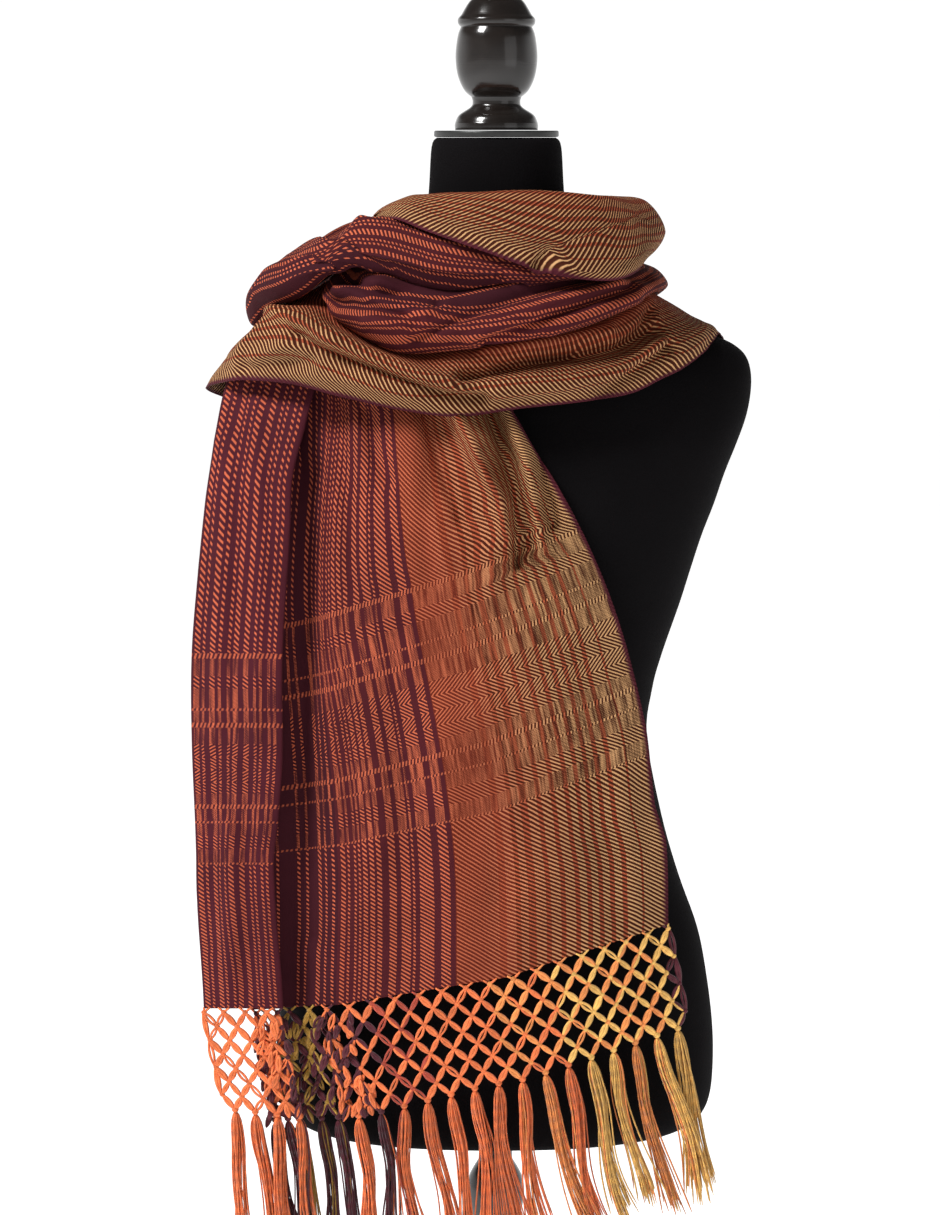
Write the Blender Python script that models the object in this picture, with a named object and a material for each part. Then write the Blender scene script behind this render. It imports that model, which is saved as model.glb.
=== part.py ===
"""A rebozo shawl wound twice round the neck and shoulders of a limbless dress form on a turned stand.

Sizes are in millimetres until a point is placed, which turns it into metres. The front of the form looks
along -Y, +X is the viewer's right, and Z = 0 is the table. Tables of folds and sections give places on the
front drawing: across from the form's axis, up from the bottom of the drawing's torso, and out towards the
viewer. The drawing is a perspective one, so a place that lies nearer the viewer is drawn in a little.
"""

import math

import bpy
import numpy as np
from mathutils import Vector
from mathutils.bvhtree import BVHTree

MM = 0.001

# The viewpoint of the front drawing
VIEW_DISTANCE = 2800.0
VIEW_PITCH = 7.3
VIEW_CENTRE_ACROSS = -19.5
VIEW_CENTRE_UP = 404.6
TORSO_BOTTOM = 330.0

# Cloth
CLOTH_WALL = 1.6
SEAM = 1.2
SECTION_LENGTH = 50.0
LAYER_STEP = 6.5
TORSO_GAP = 1.9
CLOTH_GAP = 2.4
REST_ROUNDS = 10
REST_REACH = 14.0

# Knotted fringe
NET_COLUMNS = 24
NET_LEVELS = 7
NET_DROP = 72.0
NET_SWAY = 15.0
KNOT_RADIUS = 2.6
HEAD_RADIUS = 4.2
YARN_WALL = 3.0
HEM_GAP = 0.5
LEG_GAP = 0.6
LEG_ASIDE = 0.8
LOCKS_PER_TASSEL = 3
LOCK_STEPS = 4
TASSEL_LENGTH = 128.0
TASSEL_SWAY = 12.0

# Dress form: height on the drawing, half width, depth to the front, depth to the back
TORSO_SIDES = 28
TORSO_SQUARENESS = 2.3
TORSO = (
    (19, 132, 82, 88),
    (22, 142, 92, 98),
    (28, 152, 100, 106),
    (40, 159, 107, 113),
    (60, 162, 111, 117),
    (92, 162, 110, 117),
    (128, 158, 108, 114),
    (165, 151, 104, 109),
    (206, 136.5, 98, 99),
    (250, 124, 91, 88),
    (309, 113, 86, 79),
    (345, 117, 89, 80),
    (371, 124, 94, 84),
    (410, 137.6, 104, 90),
    (435, 145.5, 112, 95),
    (461, 154, 118, 98),
    (484, 163, 120, 100),
    (507, 171, 118, 102),
    (529, 180, 112, 102),
    (548, 187, 103, 100),
    (565, 190.5, 95, 97),
    (580, 191, 88, 93),
    (592, 188, 81, 87),
    (600, 181, 76, 82),
    (607, 168, 72, 77),
    (622, 130, 66, 74),
    (640, 88, 59, 66),
    (654, 65, 54, 60),
    (672, 55, 50, 54),
    (717, 51, 49, 51),
    (750, 49, 47, 48),
    (757, 45, 43, 44),
)

# Turned pieces: radius and height. The finial's and plate's heights are on the drawing, the others' are above
# the table.
FINIAL_SIDES = 20
FINIAL = (
    (30.5, 762.7),
    (30.5, 768),
    (27.6, 774),
    (18, 781),
    (18, 787),
    (24, 794),
    (29, 806),
    (30.2, 818),
    (28.6, 833),
    (26.2, 840),
    (27.4, 847),
    (22, 858),
    (13, 864),
    (15.5, 870),
    (13, 875),
    (19, 885),
    (17, 896),
    (8, 903),
)
PLATE_SIDES = 28
PLATE = ((44, 757.4), (46, 758.4), (46, 761.4), (44, 762.3))
COLUMN_SIDES = 20
COLUMN_GAP = 0.4
COLUMN = (
    (34, 26.4),
    (34, 32),
    (26, 44),
    (20, 66),
    (16, 110),
    (14.5, 190),
    (14.5, 232),
    (18.5, 237),
    (18.5, 242),
    (12.5, 248),
    (17, 262),
    (22, 280),
    (20, 297),
    (13, 310),
    (13, 322),
)
BASE_SIDES = 32
BASE = ((147, 0), (150, 3), (150, 10), (144, 17), (90, 22), (44, 26))

# Tail: each line runs from the hem to the edge hidden under the wraps, as (up, across)
TAIL_ROWS = 18
TAIL_LINES = {
    "selvedge": (
        (167, 129),
        (229, 127.5),
        (257, 119),
        (311, 113),
        (352, 104),
        (388, 94),
        (425, 81),
        (461, 65),
        (495, 47),
        (523, 29),
        (550, 13.5),
        (590, -4),
    ),
    "middle": ((127, 6), (250, 0), (434, -34), (520, -50), (592, -62)),
    "left": ((107, -117), (225, -116), (404, -132), (592, -124)),
    "turn": ((90, -184), (220, -186), (392, -186), (592, -172)),
    "fold": (
        (104, -160),
        (208, -167),
        (242, -164),
        (293, -160.5),
        (370, -160.5),
        (461, -155),
        (502, -153),
        (538, -144),
        (592, -132),
    ),
    "far_edge": (
        (104, -219),
        (185, -224),
        (229, -225),
        (306, -228),
        (370, -228),
        (435, -223),
        (487, -217.5),
        (531, -211),
        (560, -205.5),
        (590, -198),
    ),
}

# Height of each line where four weft rows cross it: the hem, both edges of the patterned stripe, and the top
TAIL_WEFTS = {
    "row": (0.0, 0.27, 0.68, 1.0),
    "selvedge": (167, 293, 469, 584),
    "middle": (127, 250, 434, 588),
    "left": (107, 225, 404, 590),
    "turn": (90, 217, 392, 590),
    "fold": (104, 211, 376, 590),
    "far_edge": (104, 211, 376, 586),
}

# The panel's spans from line to line and how many columns each is drawn with
PANEL_SPANS = (("selvedge", "middle", 11), ("middle", "left", 5), ("left", "turn", 2))

# The flap folded over the panel: from line, to line, share of the way, layers in front of the panel
FLAP_SPOTS = (
    ("turn", "fold", 0.33, 0.05),
    ("turn", "fold", 0.0, 0.5),
    ("turn", "fold", 0.33, 1.0),
    ("turn", "fold", 0.7, 1.0),
    ("turn", "fold", 1.0, 1.5),
    ("fold", "far_edge", 0.12, 2.0),
    ("fold", "far_edge", 0.34, 2.0),
    ("fold", "far_edge", 0.67, 2.0),
    ("fold", "far_edge", 1.0, 1.6),
)

# How far the tail lies in front of the axis: height, at the middle, and at the far edge
TAIL_DEPTH = (
    (100, 128, 80),
    (200, 129, 80),
    (300, 130, 80),
    (400, 130, 78),
    (484, 127, 70),
    (530, 117, 54),
    (560, 104, 36),
    (590, 86, 22),
)
TAIL_HALF_SPAN = 215.0
TAIL_RIGHT_BEND = 0.0020

# Folds of the tail: top and bottom of each as (across, up), how far it stands out, and its half width
TAIL_FOLDS = (
    ((-28, 556), (-12, 523), 11, 11),
    ((-12, 523), (8, 462), 9, 11),
    ((2, 556), (13, 515), -8, 9),
    ((13, 515), (22, 456), -7, 10),
    ((10, 556), (31, 496), 9, 9),
    ((-78, 556), (-70, 515), 6, 24),
    ((-100, 430), (-92, 180), 4, 26),
    ((30, 340), (40, 175), 4, 34),
    ((-196, 520), (-196, 160), 4, 16),
)

# Shoulder wrap, a closed ring that starts behind the left shoulder and goes round by the front.
# Each row is a section: hem, swell, crest, ridge and tucked edge, each (across, up, out).
SHOULDER_WRAP = (
    ((-184, 556, -62), (-188, 584, -64), (-176, 603, -56), (-144, 620, -42), (-116, 634, -34)),
    ((-217, 568, 2), (-206, 586, 6), (-193, 600, 6), (-158, 629, 2), (-122, 648, 0)),
    ((-202, 574, 62), (-197, 598, 70), (-184, 612, 64), (-156, 631, 44), (-124, 650, 24)),
    ((-184, 575, 80), (-184, 602, 88), (-175, 622, 80), (-150, 633, 54), (-120, 651, 36)),
    ((-152, 572, 102), (-154, 602, 110), (-148, 625, 102), (-132, 630, 80), (-108, 640, 56)),
    ((-121, 564, 114), (-123, 590, 125), (-121, 609, 121), (-113, 612, 103), (-96, 622, 76)),
    ((-72, 553, 122), (-73, 571, 134), (-72, 583, 132), (-68, 591, 119), (-60, 603, 92)),
    ((-28, 548, 125), (-28, 566, 138), (-28, 577, 136), (-27, 593, 124), (-25, 606, 98)),
    ((18, 554, 121), (18, 571, 135), (18, 581, 133), (18, 600, 123), (16, 612, 97)),
    ((64, 559, 108), (64, 576, 122), (62, 586, 120), (59, 609, 109), (52, 620, 84)),
    ((100, 565, 93), (101, 583, 103), (99, 595, 99), (95, 622, 87), (80, 634, 64)),
    ((124, 576, 84), (125, 597, 87), (120, 609, 81), (112, 634, 63), (92, 646, 42)),
    ((140, 584, 74), (140, 602, 74), (134, 613, 68), (119, 636, 47), (96, 649, 29)),
    ((157, 597, 50), (154, 610, 46), (146, 618, 42), (123, 637, 26), (96, 649, 14)),
    ((168, 610, 6), (158, 616, 6), (148, 622, 6), (123, 636, 3), (96, 649, 0)),
    ((166, 590, -56), (156, 605, -54), (146, 614, -50), (120, 631, -38), (92, 644, -28)),
    ((138, 556, -92), (131, 582, -94), (122, 600, -86), (100, 625, -66), (76, 638, -48)),
    ((72, 538, -116), (70, 566, -122), (66, 588, -114), (62, 622, -92), (46, 636, -68)),
    ((0, 530, -120), (0, 560, -128), (0, 584, -120), (0, 620, -100), (0, 634, -76)),
    ((-80, 536, -114), (-79, 566, -120), (-74, 588, -111), (-66, 620, -88), (-50, 634, -64)),
    ((-145, 546, -88), (-143, 576, -91), (-134, 597, -83), (-112, 622, -64), (-86, 635, -46)),
)
SHOULDER_SEAMS = (0.5, 14.6, 21.5)

# Lower neck wrap, from the end hidden at the front left, rising to the right and round the back.
# Each row is a section: underside, low, front, top and inner edge.
RISING_WRAP = (
    ((-94, 652, 30), (-101, 648, 38), (-107, 654, 42), (-101, 664, 38), (-90, 670, 28)),
    ((-112, 644, 60), (-122, 638, 71), (-129, 642, 78), (-122, 653, 71), (-106, 666, 56)),
    ((-104, 626, 84), (-114, 618, 95), (-123, 627, 103), (-115, 645, 93), (-98, 662, 72)),
    ((-86, 613, 103), (-94, 605, 116), (-101, 623, 127), (-93, 648, 111), (-80, 664, 85)),
    ((-66, 604, 108), (-71, 596, 122), (-75, 620, 136), (-68, 640, 118), (-60, 664, 86)),
    ((-27, 606, 112), (-29, 598, 127), (-32, 615, 140), (-29, 632, 124), (-25, 662, 88)),
    ((17, 613, 112), (18, 604, 126), (20, 618, 138), (19, 638, 124), (16, 662, 86)),
    ((52, 620, 99), (55, 612, 112), (60, 624, 125), (57, 645, 112), (48, 666, 78)),
    ((86, 634, 78), (91, 626, 89), (100, 636, 97), (94, 651, 86), (78, 668, 60)),
    ((100, 646, 46), (111, 639, 54), (121, 645, 58), (114, 655, 50), (94, 664, 36)),
    ((104, 649, 8), (118, 641, 10), (128, 647, 10), (119, 658, 7), (96, 666, 4)),
    ((96, 646, -37), (110, 636, -44), (122, 646, -48), (112, 660, -42), (88, 668, -32)),
    ((64, 638, -77), (72, 628, -92), (80, 646, -102), (71, 662, -86), (52, 672, -64)),
    ((0, 636, -88), (0, 626, -104), (0, 646, -116), (0, 664, -97), (0, 673, -74)),
    ((-66, 636, -75), (-74, 626, -90), (-82, 646, -99), (-72, 662, -82), (-54, 670, -62)),
    ((-92, 644, -34), (-104, 634, -41), (-115, 647, -45), (-102, 660, -38), (-84, 668, -30)),
    ((-90, 652, -6), (-99, 646, -6), (-105, 652, -6), (-97, 660, -6), (-84, 670, -6)),
)
RISING_SEAMS = (0.0, 10.6, 16.0)

# Upper neck wrap, from its narrow end at the front right, round by the left and the back, to the collar that
# lies over its own start and ends inside the left fold. Columns as above. On the collar the first is its hem.
UPPER_WRAP = (
    ((66, 653, 98), (69, 652, 103), (71, 655, 107), (68, 660, 102), (62, 664, 94)),
    ((34, 654, 101), (37, 648, 111), (39, 653, 119), (37, 663, 110), (32, 670, 96)),
    ((-5, 650, 101), (-6, 641, 113), (-8, 657, 120), (-7, 678, 107), (-5, 686, 88)),
    ((-42, 652, 99), (-44, 643, 112), (-47, 662, 120), (-46, 688, 101), (-42, 693, 82)),
    ((-86, 664, 90), (-91, 657, 104), (-99, 674, 107), (-93, 697, 87), (-84, 698, 69)),
    ((-110, 664, 82), (-122, 654, 98), (-132, 665, 99), (-118, 685, 72), (-100, 690, 52)),
    ((-134, 648, 62), (-150, 637, 78), (-159, 656, 76), (-138, 675, 48), (-114, 683, 32)),
    ((-150, 642, 32), (-170, 629, 42), (-180, 648, 40), (-150, 671, 22), (-118, 681, 14)),
    ((-156, 638, 0), (-181, 616, 2), (-184, 641, 2), (-148, 672, -2), (-114, 683, -4)),
    ((-138, 644, -46), (-160, 628, -54), (-167, 652, -57), (-134, 677, -44), (-102, 688, -36)),
    ((-108, 662, -58), (-122, 652, -70), (-127, 676, -80), (-102, 693, -62), (-80, 700, -48)),
    ((-42, 678, -76), (-50, 670, -92), (-53, 688, -102), (-43, 706, -82), (-34, 710, -62)),
    ((0, 680, -82), (0, 671, -96), (0, 690, -106), (0, 709, -86), (0, 712, -64)),
    ((44, 678, -74), (52, 671, -88), (58, 689, -97), (47, 709, -78), (37, 712, -58)),
    ((82, 674, -40), (94, 667, -48), (103, 682, -54), (86, 706, -42), (68, 711, -30)),
    ((96, 674, 0), (110, 666, 0), (126, 686, 0), (112, 709, 0), (86, 713, 0)),
    ((109, 661, 66), (113, 668, 66), (115, 682, 57), (100, 709, 42), (79, 712, 32)),
    ((87, 650, 110), (89, 658, 112), (87, 676, 99), (77, 711, 70), (63, 712, 53)),
    ((40, 655, 125), (40, 664, 126), (38, 680, 113), (33, 715, 84), (28, 713, 65)),
    ((-10, 672, 123), (-10, 680, 121), (-10, 694, 108), (-9, 715, 84), (-8, 713, 65)),
    ((-50, 686, 111), (-50, 693, 108), (-49, 702, 98), (-45, 714, 79), (-40, 713, 61)),
    ((-76, 704, 80), (-76, 707, 77), (-74, 709, 71), (-68, 711, 60), (-60, 709, 49)),
    ((-97, 688, 26), (-97, 693, 25), (-94, 699, 24), (-84, 704, 20), (-71, 703, 17)),
    ((-86, 688, -26), (-86, 692, -26), (-84, 697, -25), (-76, 701, -22), (-66, 701, -19)),
)
UPPER_SEAMS = (0.0, 9.5, 14.5, 23.0)
SECTION_STEPS_AROUND = 1.5
SECTION_POINTS = 12

# Colours and roughness of the materials
VELVET = ((0.012, 0.011, 0.012), 0.9)
GLOSS_BLACK = ((0.014, 0.010, 0.009), 0.18)
BLACK_METAL = ((0.035, 0.036, 0.034), 0.4)
MAROON_CLOTH = ((0.16, 0.035, 0.03), 0.85)
TAN_CLOTH = ((0.30, 0.15, 0.07), 0.85)
ORANGE_YARN = ((0.85, 0.22, 0.07), 0.7)


def clear_scene():
    for obj in list(bpy.data.objects):
        bpy.data.objects.remove(obj, do_unlink=True)


def material(name, finish, metallic=0.0):
    colour, roughness = finish
    made = bpy.data.materials.new(name)
    made.use_nodes = True
    shader = made.node_tree.nodes["Principled BSDF"]
    shader.inputs["Base Color"].default_value = (*colour, 1.0)
    shader.inputs["Roughness"].default_value = roughness
    shader.inputs["Metallic"].default_value = metallic
    return made


def placed(drawn):
    """World points in metres for points (across, up, out) of the front drawing, in an array of any shape."""
    across, up, out = np.moveaxis(np.asarray(drawn, float), -1, 0)
    pitch = math.radians(VIEW_PITCH)
    eye_y = -VIEW_DISTANCE * math.cos(pitch)
    eye_z = TORSO_BOTTOM + VIEW_CENTRE_UP + VIEW_DISTANCE * math.sin(pitch)
    ray_y = VIEW_DISTANCE * math.cos(pitch) + (up - VIEW_CENTRE_UP) * math.sin(pitch)
    ray_z = -VIEW_DISTANCE * math.sin(pitch) + (up - VIEW_CENTRE_UP) * math.cos(pitch)
    reach = (-out - eye_y) / ray_y
    x = VIEW_CENTRE_ACROSS + (across - VIEW_CENTRE_ACROSS) * reach
    return np.stack([x, -out, eye_z + ray_z * reach], axis=-1) * MM


def smooth(keys, places, closed=False):
    """Points on a Catmull-Rom curve through the keys, at places counted in keys from the first."""
    keys = np.asarray(keys, float)
    places = np.asarray(places, float)
    base = np.floor(places).astype(int)
    if not closed:
        base = np.clip(base, 0, len(keys) - 2)
    part = (places - base).reshape((-1,) + (1,) * (keys.ndim - 1))

    def key(offset):
        index = base + offset
        return keys[index % len(keys)] if closed else keys[np.clip(index, 0, len(keys) - 1)]

    a, b, c, d = key(-1), key(0), key(1), key(2)
    return b + 0.5 * part * (c - a + part * (2 * a - 5 * b + 4 * c - d + part * (3 * (b - c) + d - a)))


def table_curve(table, at):
    """Each further column of a table at the given values of its first column, joined smoothly."""
    table = np.asarray(table, float)
    places = np.interp(at, table[:, 0], np.arange(len(table)))
    return smooth(table[:, 1:], places)


def mesh_object(name, points, faces, finish):
    mesh = bpy.data.meshes.new(name)
    mesh.from_pydata([tuple(point) for point in points], [], faces)
    mesh.materials.append(finish)
    mesh.shade_smooth()
    obj = bpy.data.objects.new(name, mesh)
    bpy.context.scene.collection.objects.link(obj)
    return obj


def thicken(obj, wall):
    solidify = obj.modifiers.new("Wall", "SOLIDIFY")
    solidify.thickness = wall * MM
    solidify.offset = 0.0


def grid_faces(rows, columns):
    """Quads of a grid whose rows run one way and whose columns run the other."""
    faces = []
    for row in range(rows - 1):
        for column in range(columns - 1):
            corner = row * columns + column
            faces.append((corner, corner + columns, corner + columns + 1, corner + 1))
    return faces


def ringed_solid(name, rings, finish):
    """A closed solid through rings of points, lowest first, each running anticlockwise from above."""
    sides = len(rings[0])
    points = [point for ring in rings for point in ring]
    faces = [tuple(reversed(range(sides)))]
    for ring in range(len(rings) - 1):
        for side in range(sides):
            low = ring * sides + side
            low_next = ring * sides + (side + 1) % sides
            faces.append((low, low_next, low_next + sides, low + sides))
    faces.append(tuple(range(len(points) - sides, len(points))))
    return mesh_object(name, points, faces, finish)


def turned(name, profile, sides, finish, height_of):
    """A turned solid about the form's axis; height_of turns a height of the profile into metres."""
    angles = np.arange(sides) * 2 * math.pi / sides
    rings = []
    for radius, height in profile:
        z = height_of(height)
        rings.append([(radius * MM * math.cos(a), radius * MM * math.sin(a), z) for a in angles])
    return ringed_solid(name, rings, finish)


def drawn_height(up):
    return float(placed((0, up, 0))[2])


def torso_ring(height, half_width, front, back):
    """One ring of the torso: a rounded oblong, deeper to one side than the other."""
    width = abs(placed((half_width, height, 0))[0])
    z = drawn_height(height)
    power = 2 / TORSO_SQUARENESS
    ring = []
    for side in range(TORSO_SIDES):
        angle = side * 2 * math.pi / TORSO_SIDES
        c, s = math.cos(angle), math.sin(angle)
        depth = (back if s > 0 else front) * MM
        x = math.copysign(abs(c) ** power, c) * width
        y = math.copysign(abs(s) ** power, s) * depth
        ring.append((x, y, z))
    return ring


def make_form():
    velvet = material("velvet", VELVET)
    gloss = material("gloss_black_wood", GLOSS_BLACK)
    metal = material("black_metal", BLACK_METAL, metallic=0.6)
    torso = ringed_solid("form_torso", [torso_ring(*row) for row in TORSO], velvet)
    turned("form_plate", PLATE, PLATE_SIDES, metal, drawn_height)
    turned("form_finial", FINIAL, FINIAL_SIDES, gloss, drawn_height)
    top = drawn_height(TORSO[0][0]) / MM - COLUMN_GAP
    column = COLUMN + ((COLUMN[-1][0], top),)
    turned("form_column", column, COLUMN_SIDES, gloss, lambda height: height * MM)
    turned("form_base", BASE, BASE_SIDES, gloss, lambda height: height * MM)
    return torso


def surface_of(obj):
    mesh = obj.data
    return BVHTree.FromPolygons([v.co for v in mesh.vertices], [p.vertices for p in mesh.polygons])


def shortfall(point, surface, gap):
    """The step that brings a point clear of a surface by the gap, or nothing where it already is."""
    nearest, normal, _, distance = surface.find_nearest(Vector(point))
    height = (Vector(point) - nearest).dot(normal)
    beneath = height < -0.7 * distance and distance < REST_REACH * MM
    if distance < gap * MM or beneath:
        return np.array(normal) * (gap * MM - height)
    return np.zeros(3)


def laid_over(points, faces, rests):
    """Points moved out until they, their faces and their edges clear each (surface, gap) beneath them."""
    points = np.array(points, float)
    spots = [(index,) for index in range(len(points))] + [tuple(face) for face in faces]
    spots += [(a, b) for a, b, _, _ in faces] + [(a, d) for a, _, _, d in faces]
    for _ in range(REST_ROUNDS):
        for surface, gap in rests:
            for spot in spots:
                corners = list(spot)
                points[corners] += shortfall(points[corners].mean(axis=0), surface, gap)
    return points


def seam_places(start, end, first, last):
    """Places along a wrap's rows from one seam to the next, each drawn back by half a seam."""
    count = max(3, round((end - start) * SECTION_STEPS_AROUND) + 1)
    half_seam = 0.5 * SEAM / SECTION_LENGTH
    begin = start if first else start + half_seam
    finish = end if last else end - half_seam
    return np.linspace(begin, finish, count)


def make_wrap(rows, seams, names, finish, rests, closed=False):
    """The stretches of one wrap, each a sheet through the wrap's sections between two seams."""
    places = []
    for index in range(len(names)):
        first = index == 0 and not closed
        last = index == len(names) - 1 and not closed
        places.append(seam_places(seams[index], seams[index + 1], first, last))
    along = smooth(placed(rows), np.concatenate(places), closed)
    across_places = np.linspace(0, along.shape[1] - 1, SECTION_POINTS)
    grid = smooth(along.transpose(1, 0, 2), across_places).transpose(1, 0, 2)
    laid = laid_over(grid.reshape(-1, 3), grid_faces(len(grid), SECTION_POINTS), rests)
    surfaces = []
    start = 0
    for name, stretch in zip(names, places):
        end = start + len(stretch) * SECTION_POINTS
        sheet = mesh_object(name, laid[start:end], grid_faces(len(stretch), SECTION_POINTS), finish)
        surfaces.append((surface_of(sheet), CLOTH_GAP))
        thicken(sheet, CLOTH_WALL)
        start = end
    return surfaces


def line_point(line, row):
    """(across, up) where a line of the tail crosses a row, counted from 0 at the hem to 1 at the top."""
    up = float(table_curve(np.column_stack([TAIL_WEFTS["row"], TAIL_WEFTS[line]]), row)[0, 0])
    return np.array([float(table_curve(TAIL_LINES[line], up)[0, 0]), up])


def fold_height(across, up):
    """How far the tail's folds stand out at a place, each a soft ridge or trough along a straight line."""
    total = 0.0
    here = np.array([across, up], float)
    for top, bottom, height, half_width in TAIL_FOLDS:
        top = np.array(top, float)
        run = np.array(bottom, float) - top
        share = np.clip(np.dot(here - top, run) / np.dot(run, run), 0, 1)
        distance = np.linalg.norm(here - top - share * run)
        total += height * math.exp(-((distance / half_width) ** 2))
    return total


def tail_out(across, up):
    """How far the tail's base layer lies in front of the axis."""
    middle, edge = table_curve(TAIL_DEPTH, up)[0]
    if across < 0:
        return middle - (middle - edge) * (across / TAIL_HALF_SPAN) ** 2
    return middle - TAIL_RIGHT_BEND * across**2


def tail_section(row):
    """Points of the tail across one row as (across, up, out): the panel, its turn, and the flap over it."""
    spot = {line: line_point(line, row) for line in TAIL_LINES}
    places = [(spot["selvedge"], 0.0)]
    for start, end, steps in PANEL_SPANS:
        for step in range(1, steps + 1):
            places.append((spot[start] + (spot[end] - spot[start]) * step / (steps + (end == "turn")), 0.0))
    for start, end, share, layers in FLAP_SPOTS:
        places.append((spot[start] + (spot[end] - spot[start]) * share, layers * LAYER_STEP))
    return [(u, v, tail_out(u, v) + layer + fold_height(u, v)) for (u, v), layer in places]


def make_tail(finish, rests):
    """The hanging tail; returns it and the points of its hem."""
    sections = placed([tail_section(row) for row in np.linspace(0, 1, TAIL_ROWS)])
    columns = sections.shape[1]
    faces = grid_faces(TAIL_ROWS, columns)
    grid = laid_over(sections.reshape(-1, 3), faces, rests)
    tail = mesh_object("shawl_tail", grid, faces, finish)
    thicken(tail, CLOTH_WALL)
    return tail, grid[:columns]


def hem_point(hem, share):
    """A point of the hem at a share of its length, counted from the selvedge at the viewer's left."""
    steps = np.linalg.norm(np.diff(hem, axis=0), axis=1)
    reached = np.concatenate([[0], np.cumsum(steps)])
    at = share * reached[-1]
    return np.array([np.interp(at, reached, hem[:, axis]) for axis in range(3)])


def net_drop(share):
    """How a net yarn hangs from the hem to its tassel, in metres."""
    sag = 1.0 + 0.12 * math.sin(math.pi * min(1.0, share * 1.6))
    return np.array([NET_SWAY, 0.0, -NET_DROP * sag]) * MM


def net_spot(hem, column, level):
    share = column / NET_COLUMNS
    start = np.array([0.0, 0.0, -(KNOT_RADIUS + HEM_GAP) * MM])
    return hem_point(hem, share) + start + net_drop(share) * level / NET_LEVELS


def net_columns(level):
    """The columns that hold a knot at a level: every second level is set over by half a column."""
    if level % 2 == 0:
        return [float(column) for column in range(NET_COLUMNS + 1)]
    return [column + 0.5 for column in range(NET_COLUMNS)]


class Yarns:
    """Flat yarns as one surface: knots with four corners, joined by strands along their corners' edges."""

    def __init__(self, hem):
        self.hem = hem
        self.points = []
        self.faces = []
        self.knots = {}

    def point(self, position):
        self.points.append(tuple(position))
        return len(self.points) - 1

    def corners(self, column, level, radius, lift=0.0):
        """New points north, west, south and east of a place in the net, along the hem's own direction."""
        middle = net_spot(self.hem, column, level) + np.array([0.0, 0.0, lift * MM])
        low, high = max(0.0, column - 0.3), min(NET_COLUMNS, column + 0.3)
        side = net_spot(self.hem, high, level) - net_spot(self.hem, low, level)
        side *= radius * MM / np.linalg.norm(side)
        up = np.array([0.0, 0.0, radius * MM])
        return [self.point(middle + step) for step in (up, -side, -up, side)]

    def knot(self, column, level):
        corners = self.corners(column, level, KNOT_RADIUS)
        self.knots[column, level] = corners
        self.faces.append(tuple(corners))

    def strands(self, level):
        """The strands that go down from every knot of a level to the next level's knots."""
        for column in net_columns(level):
            upper = self.knots[column, level]
            right = self.knots.get((column + 0.5, level + 1))
            left = self.knots.get((column - 0.5, level + 1))
            if right:
                self.faces.append((upper[2], right[1], right[0], upper[3]))
            if left:
                self.faces.append((upper[1], left[0], left[3], upper[2]))

    def edge_strands(self, level):
        """The yarn down each side of the net, past one level that has no knot there."""
        upper, under = self.knots[0.0, level], self.knots[0.0, level + 2]
        self.faces.append((upper[1], under[1], under[0], upper[2]))
        last = float(NET_COLUMNS)
        upper, under = self.knots[last, level], self.knots[last, level + 2]
        self.faces.append((upper[2], under[0], under[3], upper[3]))

    def leg(self, upper, side, corners):
        """A strand from a knot to its own cut end, drawn aside from its neighbour: side is -1 or 1."""
        across = np.array(self.points[corners[3]]) - np.array(self.points[corners[1]])
        aside = across / np.linalg.norm(across) * side * LEG_ASIDE * MM
        if side < 0:
            west, north = (self.point(np.array(self.points[corners[k]]) + aside) for k in (1, 0))
            self.faces.append((upper[2], west, north, upper[3]))
        else:
            north, east = (self.point(np.array(self.points[corners[k]]) + aside) for k in (0, 3))
            self.faces.append((upper[1], north, east, upper[2]))


def make_net(hem, finish):
    """The knotted net, down to the short legs that end just above the knots of the tassels' strip."""
    yarns = Yarns(hem)
    last = NET_LEVELS - 2
    for level in range(last + 1):
        for column in net_columns(level):
            yarns.knot(column, level)
    for level in range(last):
        yarns.strands(level)
    for level in range(0, last - 1, 2):
        yarns.edge_strands(level)
    ends = {}
    for column in net_columns(last + 1):
        ends[column] = yarns.corners(column, last + 1, KNOT_RADIUS, LEG_GAP)
    for column in net_columns(last):
        upper = yarns.knots[column, last]
        yarns.leg(upper, -1, ends[column + 0.5])
        yarns.leg(upper, 1, ends[column - 0.5])
    drop_loose(yarns, "shawl_net", finish)


def drop_loose(yarns, name, finish):
    """The yarns as an object, without the points that no face uses."""
    used = sorted({index for face in yarns.faces for index in face})
    renamed = {old: new for new, old in enumerate(used)}
    points = [yarns.points[index] for index in used]
    faces = [tuple(renamed[index] for index in face) for face in yarns.faces]
    thicken(mesh_object(name, points, faces, finish), YARN_WALL)


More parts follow.
